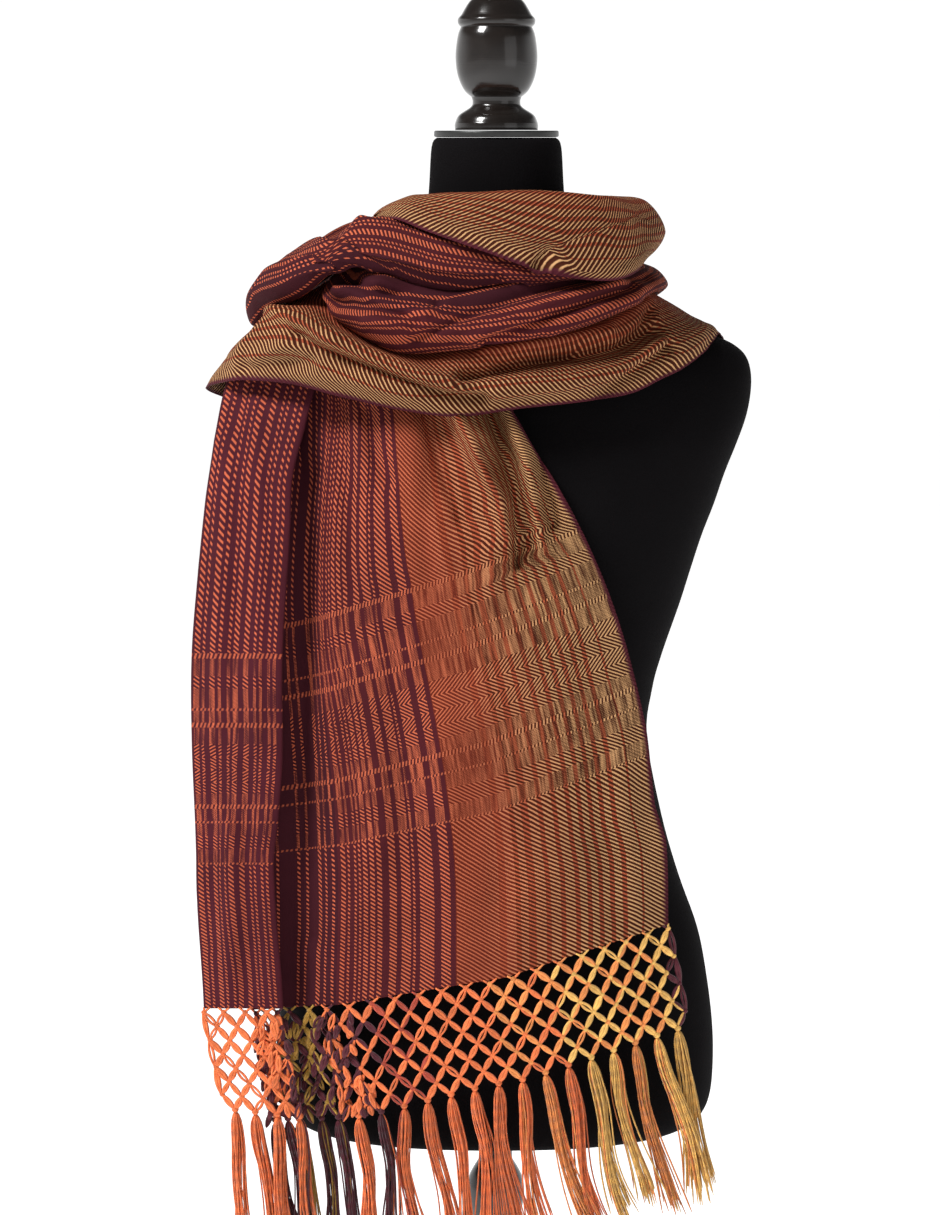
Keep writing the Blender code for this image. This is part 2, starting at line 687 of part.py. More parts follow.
def tassel(yarns, roots, chance):
    """Locks of yarn that hang from a tassel's head and stand apart below it."""
    length = TASSEL_LENGTH * chance.uniform(0.94, 1.06) * MM
    sway = TASSEL_SWAY * chance.uniform(0.6, 1.4) * MM
    phase = chance.uniform(0, 2 * math.pi)
    bow = chance.uniform(1.0, 3.0) * MM
    for lock in range(LOCKS_PER_TASSEL):
        left, right = roots[lock], roots[lock + 1]
        start = (np.array(yarns.points[left]) + np.array(yarns.points[right])) / 2
        offset = (lock - (LOCKS_PER_TASSEL - 1) / 2) * MM
        own_length = length * chance.uniform(0.93, 1.0)
        for step in range(1, LOCK_STEPS + 1):
            share = step / LOCK_STEPS
            spread = offset * 1.3 * min(1.0, 1.6 * share)
            wave = bow * math.sin(phase + 2.6 * math.pi * share)
            centre = start + np.array([sway * share + spread + wave, 0.0, -own_length * share])
            centre[1] += offset * 1.4 * math.sin(math.pi * share)
            half = np.array([(1.5 - 0.6 * share) * MM, 0.0, 0.0])
            low_left = yarns.point(centre - half)
            low_right = yarns.point(centre + half)
            yarns.faces.append((left, low_left, low_right, right))
            left, right = low_left, low_right


def make_tassels(hem, finish):
    """The net's last row of strands, as the strip that carries every tassel."""
    yarns = Yarns(hem)
    chance = np.random.default_rng(11)
    strip = NET_LEVELS - 1
    for column in net_columns(strip):
        yarns.knot(column, strip)
    root_shares = np.linspace(-0.48, 0.48, LOCKS_PER_TASSEL + 1)
    for column in net_columns(NET_LEVELS):
        corners = yarns.corners(column, NET_LEVELS, HEAD_RADIUS)
        yarns.knots[column, NET_LEVELS] = corners
        north, west, south, east = corners
        low = np.array(yarns.points[south])
        span = np.array(yarns.points[east]) - np.array(yarns.points[west])
        roots = [yarns.point(low + span * share) for share in root_shares]
        yarns.faces.append((north, west, *roots, east))
        tassel(yarns, roots, chance)
    yarns.strands(strip)
    drop_loose(yarns, "shawl_tassels", finish)


def make_shawl(torso):
    maroon = material("maroon_stripe_cloth", MAROON_CLOTH)
    tan = material("tan_twill_cloth", TAN_CLOTH)
    yarn = material("orange_yarn", ORANGE_YARN)
    rests = [(surface_of(torso), TORSO_GAP)]
    tail, hem = make_tail(tan, rests)
    shoulder_names = ("shawl_shoulder_front", "shawl_shoulder_back")
    shoulder_rests = rests + [(surface_of(tail), CLOTH_GAP)]
    rests += make_wrap(SHOULDER_WRAP, SHOULDER_SEAMS, shoulder_names, tan, shoulder_rests, closed=True)
    rising_names = ("shawl_rising_front", "shawl_rising_back")
    rests += make_wrap(RISING_WRAP, RISING_SEAMS, rising_names, maroon, rests)
    upper_names = ("shawl_upper_front", "shawl_upper_back", "shawl_collar")
    make_wrap(UPPER_WRAP, UPPER_SEAMS, upper_names, maroon, rests)
    hem = hem[::-1]
    make_net(hem, yarn)
    make_tassels(hem, yarn)


clear_scene()
make_shawl(make_form())
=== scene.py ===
"""The looks of a rebozo shawl wound round the neck and shoulders of a limbless dress form on a turned stand.

Sizes are in millimetres until a point is placed, which turns it into metres. Tables of folds and sections
give places on the front drawing, as the solids do: across from the form's axis, up from the bottom of the
drawing's torso, and out towards the viewer. Each cloth is a fine sheet through the same sections as its
solid, with its creases raised or pressed in, and with its woven coordinates: across from the tan selvedge
and along the warp.
"""

import math

import bpy
import numpy as np
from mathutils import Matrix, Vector
from mathutils.bvhtree import BVHTree

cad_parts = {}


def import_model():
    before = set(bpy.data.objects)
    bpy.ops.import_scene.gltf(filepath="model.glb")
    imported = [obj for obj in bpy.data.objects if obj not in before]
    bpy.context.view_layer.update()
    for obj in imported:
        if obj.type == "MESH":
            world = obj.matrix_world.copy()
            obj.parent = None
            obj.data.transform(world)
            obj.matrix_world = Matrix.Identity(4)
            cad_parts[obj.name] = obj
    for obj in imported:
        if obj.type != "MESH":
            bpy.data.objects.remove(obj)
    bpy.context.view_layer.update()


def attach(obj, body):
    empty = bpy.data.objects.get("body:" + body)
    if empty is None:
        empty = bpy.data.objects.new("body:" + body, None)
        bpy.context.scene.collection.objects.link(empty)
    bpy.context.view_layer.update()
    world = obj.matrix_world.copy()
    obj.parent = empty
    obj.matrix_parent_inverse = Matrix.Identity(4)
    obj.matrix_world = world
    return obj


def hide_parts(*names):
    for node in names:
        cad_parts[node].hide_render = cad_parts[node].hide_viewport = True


MM = 0.001

# The viewpoint of the front drawing, which is the photograph's
VIEW_DISTANCE = 2800.0
VIEW_PITCH = 7.3
VIEW_CENTRE_ACROSS = -19.5
VIEW_CENTRE_UP = 404.6
VIEW_HEIGHT = 911.25
SENSOR_HEIGHT = 36.0
TORSO_BOTTOM = 330.0

# Studio: the surround's brightness behind the form, on the viewer's side and overhead, the shares of its
# height and depth between which it dims, and the floor's own brightness and reach in metres
BACK_SKY = 1.06
FRONT_SKY = 0.50
HIGH_SKY = 0.10
LOW_SKY_TOP = 0.12
HIGH_SKY_START = 0.40
SIDE_SKY = (-0.3, 0.3)
FLOOR_GLOW = 0.88
FLOOR_REACH = 12.0

# Soft lights: name, place and aim in metres, size in metres, and power in watts
LIGHTS = (
    ("key", (-1.6, -1.1, 2.9), (0.0, 0.0, 0.9), 0.8, 91.0),
    ("fill", (1.9, -2.2, 1.3), (0.0, 0.0, 0.75), 1.8, 7.0),
)

# Lengths under this one count as none
TINY = 1e-12

# Cloth
SHEET_WALL = 1.0
SEAM = 0.2
SECTION_LENGTH = 50.0
LAYER_STEP = 6.5
TORSO_GAP = 1.6
CLOTH_GAP = 2.2
REST_REACH = 14.0
REST_ROUNDS = 3
BENEATH_SHARE = -0.7
CLOTH_WIDTH = 480.0

# The cloth's faint ripples: their height, then the lengths that set their turns across and along, and their
# wander
TAIL_RIPPLES = (0.5, 7.0, 47.0, 61.0)
WRAP_RIPPLES = (0.35, 6.0, 9.0, 13.0)

# Knotted fringe
NET_COLUMNS = 24
NET_LEVELS = 7
NET_DROP = 72.0
NET_SWAY = 15.0
NET_SAG = 0.12
NET_SAG_SPREAD = 1.6
KNOT_RADIUS = 2.1
KNOT_DROP = 3.1
STRAND_WIDEST = 1.4
STRAND_THINNEST = 0.6
STRAND_BOW = 0.95
STRAND_RINGS = 9
STRAND_SIDES = 6
KNOT_SIDES = 8
KNOT_RINGS = 7
KNOT_LENGTH = 1.7
# How much darker a knot is drawn than its yarn: painted shade in its tight turns
KNOT_SHADE = 0.9
PARTED_SHARE = 0.22
PARTED_WIDTH = 0.72
PARTED_BOW = 2.0
MATCHED_SHARE = 0.6
ROOT_SPREAD = 0.28
ROOT_RADIUS = 0.9
ROOT_RISE = 0.6
ROOT_RINGS = 4
TANGLE_PETALS = 190
TANGLE_COLUMNS = (2.6, 10.2)
TASSEL_LENGTH = 128.0
TASSEL_WAVES = 0.8
TASSEL_THREADS = 30
TASSEL_HALF_WIDTH = 5.4
TASSEL_HALF_DEPTH = 3.6
HEAD_SIZE = 1.25
# How much darker a tassel's knot is drawn than its yarn: painted shade in its tight turns
HEAD_SHADE = 0.85
HEAD_START = (0.3, 0.0, -1.2)
GOLDEN_TURN = 2.39996
THREAD_STRAY = 11.0
THREAD_RADIUS = 0.58
THREAD_STEPS = 22
THREAD_SIDES = 4
THREAD_TIP = 0.45
OWN_COLOUR_SHARE = 0.7

# Dress form: height on the drawing, half width, depth to the front, depth to the back
TORSO_SIDES = 128
TORSO_STEPS = 5
TORSO_SQUARENESS = 2.3
TORSO = (
    (19, 132, 82, 88),
    (22, 142, 92, 98),
    (28, 152, 100, 106),
    (40, 159, 107, 113),
    (60, 162, 111, 117),
    (92, 162, 110, 117),
    (128, 158, 108, 114),
    (165, 151, 104, 109),
    (206, 136.5, 98, 99),
    (250, 124, 91, 88),
    (309, 113, 86, 79),
    (345, 117, 89, 80),
    (371, 124, 94, 84),
    (410, 137.6, 104, 90),
    (435, 145.5, 112, 95),
    (461, 154, 118, 98),
    (484, 163, 120, 100),
    (507, 171, 118, 102),
    (529, 180, 112, 102),
    (548, 187, 103, 100),
    (565, 190.5, 95, 97),
    (580, 191, 88, 93),
    (592, 188, 81, 87),
    (600, 181, 76, 82),
    (607, 168, 72, 77),
    (622, 130, 66, 74),
    (640, 88, 59, 66),
    (654, 65, 54, 60),
    (672, 55, 50, 54),
    (717, 51, 49, 51),
    (750, 49, 47, 48),
    (757, 45, 43, 44),
)

# Turned pieces as stretches of one smooth curve, with an edge between stretches: radius and height. The
# finial's and plate's heights are on the drawing, the others' are above the floor.
TURNED_SIDES = 96
TURNED_STEPS = 7
WELD_REACH = 0.00001
SHARP_ANGLE = 40
FINIAL = (
    ((0, 762.7), (30.5, 762.7)),
    ((30.5, 762.7), (30.8, 765.5), (30.5, 768)),
    ((30.5, 768), (27.6, 774), (19, 780), (17.6, 784), (18.4, 787.5)),
    ((18.4, 787.5), (24, 793), (28.6, 804), (30.2, 818), (28.6, 833), (26.2, 840)),
    ((26.2, 840), (28.2, 842.5), (28.4, 846), (26, 849)),
    ((26, 849), (20, 859), (13, 864)),
    ((13, 864), (15.8, 867), (15.8, 872), (13, 875)),
    ((13, 875), (18.5, 881), (19, 889), (15, 898), (8, 903), (0, 904.5)),
)
PLATE = (
    ((0, 757.4), (44, 757.4)),
    ((44, 757.4), (45.6, 757.8), (46, 758.6)),
    ((46, 758.6), (46, 761.2)),
    ((46, 761.2), (45.5, 762.1), (44, 762.3)),
    ((44, 762.3), (0, 762.3)),
)
COLUMN = (
    ((0, 26.4), (34, 26.4)),
    ((34, 26.4), (35, 29), (34, 32)),
    ((34, 32), (26, 44), (20, 66), (16, 110), (14.5, 190), (14.5, 232)),
    ((14.5, 232), (18.5, 235.5), (18.8, 240), (15, 244), (12.5, 248)),
    ((12.5, 248), (17, 260), (22, 280), (20.5, 296), (13, 310)),
    ((13, 310), (12.8, 322), (13, 346.5), (0, 346.5)),
)
BASE = (
    ((0, 0), (147, 0)),
    ((147, 0), (149.6, 1.2), (150, 3.5), (150, 9.5)),
    ((150, 9.5), (149, 13.5), (144, 17)),
    ((144, 17), (116, 19.4), (90, 22), (60, 24.6), (44, 26), (0, 26)),
)

# Tail: each line runs from the hem to the edge hidden under the wraps, as (up, across)
TAIL_LENGTH = 484.0
TAIL_ROWS = 200
TAIL_LINES = {
    "selvedge": (
        (167, 129), (229, 127.5), (257, 119), (311, 113), (352, 104), (388, 94), (425, 81), (461, 65),
        (495, 47), (523, 29), (550, 13.5), (590, -4),
    ),
    "middle": ((127, 6), (250, 0), (434, -34), (520, -50), (592, -62)),
    "left": ((107, -117), (225, -116), (404, -132), (592, -124)),
    "turn": ((103, -184), (220, -186), (392, -186), (592, -172)),
    "fold": (
        (104, -160), (208, -167), (242, -164), (293, -160.5), (370, -160.5), (461, -155), (502, -153),
        (538, -144), (592, -132),
    ),
    "far_edge": (
        (104, -219), (185, -224), (229, -225), (306, -228), (370, -228), (435, -223), (487, -217.5),
        (531, -211), (560, -205.5), (590, -198),
    ),
}

# Height of each line where weft rows cross it: one that would lie below the hem, the hem, both edges of the
# patterned stripe, and the top
TAIL_WEFTS = {
    "row": (-0.27, 0.0, 0.27, 0.68, 1.0),
    "selvedge": (41, 167, 293, 469, 584),
    "middle": (4, 127, 250, 434, 588),
    "left": (-11, 107, 225, 404, 590),
    "turn": (-11, 103, 217, 392, 590),
    "fold": (-3, 104, 211, 376, 590),
    "far_edge": (-3, 104, 211, 376, 586),
}

# How far each line lies from the tan selvedge across the cloth
TAIL_CUT = {"selvedge": 0.0, "middle": 130.0, "left": 258.0, "turn": 328.0, "fold": 354.0, "far_edge": 416.0}

# The panel's spans from line to line and how many keys each is drawn with
PANEL_SPANS = (("selvedge", "middle", 11), ("middle", "left", 5), ("left", "turn", 2))
TAIL_COLUMNS = 230
TAIL_PINS = (0, 11, 16, 18, 20, 22, 23, 25, 26, 27)

# The flap folded over the panel: from line, to line, share of the way, layers in front of the panel
FLAP_SPOTS = (
    ("turn", "fold", 0.33, 0.05),
    ("turn", "fold", 0.0, 0.5),
    ("turn", "fold", 0.33, 1.0),
    ("turn", "fold", 0.7, 1.0),
    ("turn", "fold", 1.0, 1.5),
    ("fold", "far_edge", 0.12, 2.0),
    ("fold", "far_edge", 0.34, 2.0),
    ("fold", "far_edge", 0.67, 2.0),
    ("fold", "far_edge", 1.0, 1.6),
)

# How far the tail lies in front of the axis: height, at the middle, and at the far edge
TAIL_DEPTH = (
    (100, 128, 80),
    (200, 129, 80),
    (300, 130, 80),
    (400, 130, 78),
    (484, 127, 70),
    (530, 117, 54),
    (560, 104, 36),
    (590, 86, 22),
)
TAIL_HALF_SPAN = 215.0
TAIL_RIGHT_BEND = 0.0020

# Folds of the tail: how far each stands out, its half width, and its line as (across, up)
TAIL_FOLDS = (
    (11, 11, ((-28, 556), (-12, 523))),
    (9, 11, ((-12, 523), (8, 462))),
    (-8, 9, ((2, 556), (13, 515))),
    (-7, 10, ((13, 515), (22, 456))),
    (9, 9, ((10, 556), (31, 496))),
    (6, 24, ((-78, 556), (-70, 515))),
    (4, 26, ((-100, 430), (-92, 180))),
    (4, 34, ((30, 340), (40, 175))),
    (4, 16, ((-196, 520), (-196, 160))),
)

# Hollow of the panel beside the flap, which the flap itself does not follow
TAIL_HOLLOWS = ((-14, 17, ((-146, 560), (-150, 110))),)

# Finer creases of the tail, in the same columns
TAIL_CREASES = (
    (9.0, 5.0, ((-36, 556), (-19, 530), (-9, 506), (6, 484), (8, 462))),
    (-10.0, 4.4, ((-8, 556), (6, 520), (13, 496), (14, 470), (16, 436))),
    (9.0, 4.6, ((4, 556), (16, 527), (24, 505), (30, 477), (34, 452))),
    (-8.0, 4.5, ((22, 556), (32, 520), (38, 492), (42, 468))),
    (5.0, 5.5, ((34, 540), (45, 506), (54, 474))),
    (-5.5, 5.5, ((-54, 552), (-42, 512), (-26, 470))),
    (3.0, 8.0, ((-46, 470), (-34, 420))),
    (-4.5, 6.0, ((-98, 552), (-90, 520), (-80, 500))),
    (2.4, 9.0, ((-8, 468), (0, 404))),
    (2.8, 10.0, ((-66, 552), (-60, 500), (-62, 420))),
    (-4.0, 7.0, ((-116, 552), (-110, 470), (-108, 420))),
    (2.6, 8.0, ((-106, 552), (-100, 500))),
    (-4.4, 8.0, ((-134, 540), (-140, 320), (-136, 160))),
    (3.0, 9.0, ((-126, 400), (-122, 120))),
    (-2.4, 11.0, ((-76, 380), (-66, 140))),
    (2.2, 12.0, ((-40, 330), (-30, 140))),
    (-2.0, 12.0, ((-4, 300), (2, 140))),
    (-2.6, 12.0, ((66, 360), (84, 180))),
    (2.6, 10.0, ((92, 330), (106, 175))),
    (3.0, 6.0, ((-180, 560), (-176, 430), (-182, 300))),
    (-3.0, 5.5, ((-192, 560), (-196, 380), (-200, 250))),
    (2.2, 6.0, ((-206, 540), (-210, 400), (-214, 300))),
    (-2.4, 7.0, ((-208, 300), (-212, 150))),
    (-2.6, 7.0, ((-188, 330), (-186, 120))),
    (2.4, 7.0, ((-202, 240), (-200, 110))),
)

# Shoulder wrap, a closed ring that starts behind the left shoulder and goes round by the front.
# Each row is a section: hem, swell, crest, ridge and tucked edge, each (across, up, out).
SHOULDER_WRAP = (
    ((-184, 556, -62), (-188, 584, -64), (-176, 603, -56), (-144, 620, -42), (-116, 634, -34)),
    ((-217, 568, 2), (-206, 586, 6), (-193, 600, 6), (-158, 629, 2), (-122, 648, 0)),
    ((-202, 574, 62), (-197, 598, 70), (-184, 612, 64), (-156, 631, 44), (-124, 650, 24)),
    ((-184, 575, 80), (-184, 602, 88), (-175, 622, 80), (-150, 633, 54), (-120, 651, 36)),
    ((-152, 572, 102), (-154, 602, 110), (-148, 625, 102), (-132, 630, 80), (-108, 640, 56)),
    ((-121, 564, 114), (-123, 590, 125), (-121, 609, 121), (-113, 612, 103), (-96, 622, 76)),
    ((-72, 553, 122), (-73, 571, 134), (-72, 583, 132), (-68, 591, 119), (-60, 603, 92)),
    ((-28, 548, 125), (-28, 566, 138), (-28, 577, 136), (-27, 593, 124), (-25, 606, 98)),
    ((18, 554, 121), (18, 571, 135), (18, 581, 133), (18, 600, 123), (16, 612, 97)),
    ((64, 559, 108), (64, 576, 122), (62, 586, 120), (59, 609, 109), (52, 620, 84)),
    ((100, 565, 93), (101, 583, 103), (99, 595, 99), (95, 622, 87), (80, 634, 64)),
    ((124, 576, 84), (125, 597, 87), (120, 609, 81), (112, 634, 63), (92, 646, 42)),
    ((140, 584, 74), (140, 602, 74), (134, 613, 68), (119, 636, 47), (96, 649, 29)),
    ((157, 597, 50), (154, 610, 46), (146, 618, 42), (123, 637, 26), (96, 649, 14)),
    ((168, 610, 6), (158, 616, 6), (148, 622, 6), (123, 636, 3), (96, 649, 0)),
    ((166, 590, -56), (156, 605, -54), (146, 614, -50), (120, 631, -38), (92, 644, -28)),
    ((138, 556, -92), (131, 582, -94), (122, 600, -86), (100, 625, -66), (76, 638, -48)),
    ((72, 538, -116), (70, 566, -122), (66, 588, -114), (62, 622, -92), (46, 636, -68)),
    ((0, 530, -120), (0, 560, -128), (0, 584, -120), (0, 620, -100), (0, 634, -76)),
    ((-80, 536, -114), (-79, 566, -120), (-74, 588, -111), (-66, 620, -88), (-50, 634, -64)),
    ((-145, 546, -88), (-143, 576, -91), (-134, 597, -83), (-112, 622, -64), (-86, 635, -46)),
)
SHOULDER_SEAMS = (0.5, 14.6, 21.5)

# Lower neck wrap, from the end hidden at the front left, rising to the right and round the back.
# Each row is a section: underside, low, front, top and inner edge.
RISING_WRAP = (
    ((-94, 652, 30), (-101, 648, 38), (-107, 654, 42), (-101, 664, 38), (-90, 670, 28)),
    ((-112, 644, 60), (-122, 638, 71), (-129, 642, 78), (-122, 653, 71), (-106, 666, 56)),
    ((-104, 626, 84), (-114, 618, 95), (-123, 627, 103), (-115, 645, 93), (-98, 662, 72)),
    ((-86, 613, 103), (-94, 605, 116), (-101, 623, 127), (-93, 648, 111), (-80, 664, 85)),
    ((-66, 604, 108), (-71, 596, 122), (-75, 620, 136), (-68, 640, 118), (-60, 664, 86)),
    ((-27, 606, 112), (-29, 598, 127), (-32, 615, 140), (-29, 632, 124), (-25, 662, 88)),
    ((17, 613, 112), (18, 604, 126), (20, 618, 138), (19, 638, 124), (16, 662, 86)),
    ((52, 620, 99), (55, 612, 112), (60, 624, 125), (57, 645, 112), (48, 666, 78)),
    ((86, 634, 78), (91, 626, 89), (100, 636, 97), (94, 651, 86), (78, 668, 60)),
    ((100, 646, 46), (111, 639, 54), (121, 645, 58), (114, 655, 50), (94, 664, 36)),
    ((104, 649, 8), (118, 641, 10), (128, 647, 10), (119, 658, 7), (96, 666, 4)),
    ((96, 646, -37), (110, 636, -44), (122, 646, -48), (112, 660, -42), (88, 668, -32)),
    ((64, 638, -77), (72, 628, -92), (80, 646, -102), (71, 662, -86), (52, 672, -64)),
    ((0, 636, -88), (0, 626, -104), (0, 646, -116), (0, 664, -97), (0, 673, -74)),
    ((-66, 636, -75), (-74, 626, -90), (-82, 646, -99), (-72, 662, -82), (-54, 670, -62)),
    ((-92, 644, -34), (-104, 634, -41), (-115, 647, -45), (-102, 660, -38), (-84, 668, -30)),
    ((-90, 652, -6), (-99, 646, -6), (-105, 652, -6), (-97, 660, -6), (-84, 670, -6)),
)
RISING_SEAMS = (0.0, 10.6, 16.0)

# Upper neck wrap, from its narrow end at the front right, round by the left and the back, to the collar that
# lies over its own start and ends inside the left fold. Columns as above. On the collar the first is its hem.
UPPER_WRAP = (
    ((66, 653, 98), (69, 652, 103), (71, 655, 107), (68, 660, 102), (62, 664, 94)),
    ((34, 654, 101), (37, 648, 111), (39, 653, 119), (37, 663, 110), (32, 670, 96)),
    ((-5, 650, 101), (-6, 641, 113), (-8, 657, 120), (-7, 678, 107), (-5, 686, 88)),
    ((-42, 652, 99), (-44, 643, 112), (-47, 662, 120), (-46, 688, 101), (-42, 693, 82)),
    ((-86, 664, 90), (-91, 657, 104), (-99, 674, 107), (-93, 697, 87), (-84, 698, 69)),
    ((-110, 664, 82), (-122, 654, 98), (-132, 665, 99), (-118, 685, 72), (-100, 690, 52)),
    ((-134, 648, 62), (-150, 637, 78), (-159, 656, 76), (-138, 675, 48), (-114, 683, 32)),
    ((-150, 642, 32), (-170, 629, 42), (-180, 648, 40), (-150, 671, 22), (-118, 681, 14)),
    ((-156, 638, 0), (-181, 616, 2), (-184, 641, 2), (-148, 672, -2), (-114, 683, -4)),
    ((-138, 644, -46), (-160, 628, -54), (-167, 652, -57), (-134, 677, -44), (-102, 688, -36)),
    ((-108, 662, -58), (-122, 652, -70), (-127, 676, -80), (-102, 693, -62), (-80, 700, -48)),
    ((-42, 678, -76), (-50, 670, -92), (-53, 688, -102), (-43, 706, -82), (-34, 710, -62)),
    ((0, 680, -82), (0, 671, -96), (0, 690, -106), (0, 709, -86), (0, 712, -64)),
    ((44, 678, -74), (52, 671, -88), (58, 689, -97), (47, 709, -78), (37, 712, -58)),
    ((82, 674, -40), (94, 667, -48), (103, 682, -54), (86, 706, -42), (68, 711, -30)),
    ((96, 674, 0), (110, 666, 0), (126, 686, 0), (112, 709, 0), (86, 713, 0)),
    ((109, 661, 66), (113, 668, 66), (115, 682, 57), (100, 709, 42), (79, 712, 32)),
    ((87, 650, 110), (89, 658, 112), (87, 676, 99), (77, 711, 70), (63, 712, 53)),
    ((40, 655, 125), (40, 664, 126), (38, 680, 113), (33, 715, 84), (28, 713, 65)),
    ((-10, 672, 123), (-10, 680, 121), (-10, 694, 108), (-9, 715, 84), (-8, 713, 65)),
    ((-50, 686, 111), (-50, 693, 108), (-49, 702, 98), (-45, 714, 79), (-40, 713, 61)),
    ((-78, 696, 88), (-77, 701, 83), (-74, 708, 73), (-68, 711, 60), (-60, 709, 49)),
    ((-92, 687, 24), (-93, 692, 24), (-92, 698, 23), (-84, 704, 20), (-71, 703, 17)),
    ((-83, 687, -25), (-84, 691, -25), (-83, 696, -24), (-76, 701, -22), (-66, 701, -19)),
)
UPPER_SEAMS = (0.0, 9.5, 14.5, 23.0)

WRAP_STEPS = 14
SECTION_POINTS = 56

# Creases of the wraps' fronts, each along a line of points (across, up) on the front drawing: how far it
# stands out, its half width, and the line
SHOULDER_FRONT_CREASES = (
    (7.5, 5.0, ((-170, 629), (-138, 616), (-95, 594), (-57, 580), (-28, 571))),
    (-9.0, 4.5, ((-150, 608), (-118, 592), (-77, 577), (-42, 564), (-10, 561))),
    (-12.0, 4.6, ((-26, 577), (17, 585), (68, 594), (100, 600), (120, 612))),
    (5.5, 5.0, ((-8, 596), (40, 604), (84, 612))),
    (-8.0, 3.6, ((0, 585), (24, 590), (60, 592))),
    (6.0, 5.0, ((0, 566), (50, 572), (92, 584), (122, 603))),
    (-7.0, 4.5, ((78, 562), (104, 580), (131, 600))),
    (-5.5, 4.0, ((98, 604), (112, 616), (116, 626))),
    (4.5, 6.0, ((-180, 590), (-150, 604), (-120, 603))),
    (-3.6, 6.0, ((-196, 580), (-170, 590), (-140, 588))),
    (3.0, 7.0, ((-150, 578), (-100, 574), (-60, 564))),
    (-4.0, 5.0, ((20, 612), (60, 618), (96, 634))),
    (3.0, 7.0, ((136, 592), (150, 604), (158, 612))),
)
RISING_FRONT_CREASES = (
    (-8.0, 4.2, ((-112, 650), (-90, 642), (-64, 640), (-44, 632))),
    (6.0, 4.0, ((-118, 642), (-84, 648), (-50, 634))),
    (-7.0, 3.8, ((-124, 634), (-92, 631), (-60, 620))),
    (4.0, 4.2, ((-96, 620), (-70, 618), (-30, 634), (30, 650))),
    (-6.0, 3.8, ((-62, 606), (-10, 628), (44, 646), (88, 656))),
    (4.0, 4.2, ((-20, 606), (36, 630), (92, 648))),
    (-6.5, 3.6, ((-8, 604), (50, 626), (104, 646))),
    (3.5, 4.5, ((40, 612), (78, 627), (104, 637))),
    (-5.0, 4.0, ((60, 656), (90, 656), (114, 652))),
)
UPPER_FRONT_CREASES = (
    (-9.5, 4.2, ((-160, 668), (-141, 675), (-118, 671), (-94, 663), (-78, 655))),
    (5.5, 4.0, ((-148, 684), (-120, 685), (-92, 672), (-60, 664), (0, 654))),
    (-9.0, 4.2, ((-180, 650), (-164, 657), (-144, 661), (-126, 661))),
    (5.0, 4.2, ((-178, 666), (-150, 669), (-118, 663), (-100, 658))),
    (4.0, 4.6, ((-180, 638), (-168, 643), (-146, 650), (-124, 656))),
    (-6.5, 4.2, ((-122, 698), (-92, 690), (-56, 680), (-16, 668), (22, 662))),
    (4.0, 4.6, ((-100, 700), (-50, 688), (-10, 677))),
    (-10.0, 7.0, ((-66, 644), (-36, 636), (2, 640))),
)
COLLAR_FRONT_CREASES = (
    (-9.0, 5.5, ((30, 657), (60, 671), (92, 682), (108, 687))),
    (5.0, 7.0, ((50, 686), (88, 699), (108, 701))),
    (3.0, 6.0, ((44, 656), (76, 664), (104, 672))),
    (-5.0, 4.5, ((84, 706), (94, 699), (104, 693), (110, 691))),
    (2.6, 10.0, ((-40, 700), (10, 690), (52, 690))),
    (-2.8, 8.0, ((-62, 708), (-20, 700), (30, 706))),
    (-2.6, 7.0, ((-30, 684), (10, 672), (40, 668))),
)

# Creases of the hidden sides: height, half width, and the line as (row of the wrap's table, section column)
SHOULDER_CREASES = (
    (-7.0, 6.5, ((14.6, 0.8), (17.0, 1.8), (18.4, 2.2))),
    (6.0, 6.5, ((15.4, 2.2), (18.4, 2.8))),
    (5.0, 7.0, ((16.6, 0.6), (19.4, 1.4))),
    (-7.0, 6.0, ((17.4, 1.5), (19.2, 2.0), (20.8, 1.8))),
    (-6.0, 6.0, ((18.8, 0.9), (20.9, 1.4))),
    (5.0, 6.0, ((18.4, 2.6), (20.8, 2.3))),
    (-5.0, 6.0, ((15.6, 3.0), (19.0, 3.1), (21.0, 2.8))),
    (4.0, 7.0, ((17.8, 0.9), (21.0, 0.8))),
    (-4.5, 7.0, ((1.0, 0.9), (2.8, 1.8))),
)
RISING_CREASES = (
    (-6.0, 4.5, ((11.0, 1.9), (12.4, 2.2), (13.6, 2.6))),
    (5.0, 5.0, ((11.1, 2.6), (14.2, 2.3))),
    (-6.0, 5.0, ((11.6, 1.5), (13.6, 1.8), (15.4, 1.6))),
    (-5.0, 4.5, ((12.8, 3.0), (15.6, 2.7))),
    (4.0, 5.0, ((11.4, 1.2), (14.0, 1.3))),
)
UPPER_CREASES = (
    (-7.0, 5.0, ((8.6, 2.9), (10.8, 2.6), (13.0, 2.8))),
    (-7.0, 5.0, ((8.4, 2.1), (10.4, 1.9), (12.4, 1.6))),
    (5.5, 5.0, ((8.8, 2.5), (11.4, 2.2), (13.8, 2.4))),
    (-6.5, 5.0, ((11.0, 2.9), (12.8, 2.3), (14.0, 2.5))),
    (5.0, 5.5, ((11.6, 1.4), (14.0, 1.8))),
    (-4.5, 5.0, ((9.6, 1.2), (12.0, 1.1))),
    (-4.5, 5.5, ((21.4, 1.2), (23.0, 2.4))),
)
FRONT_REACH = 9.0

# Which way creases stand out, and how many section columns from the hem and the tucked edge they fade over
CREASE_AWAY = 0.55
HEM_FADE = 0.55
TUCK_FADE = 0.3

# Where each section column of a wrap lies across the cloth, from the tan selvedge
SHOULDER_CUT = (0.0, 30.0, 62.0, 128.0, 178.0)
RISING_CUT = (206.0, 219.0, 241.0, 264.0, 288.0)
UPPER_CUT = (304.0, 290.0, 260.0, 218.0, 176.0)
COLLAR_CUT = (0.0, 10.0, 44.0, 84.0, 100.0)
RISING_SLANT = 14.0

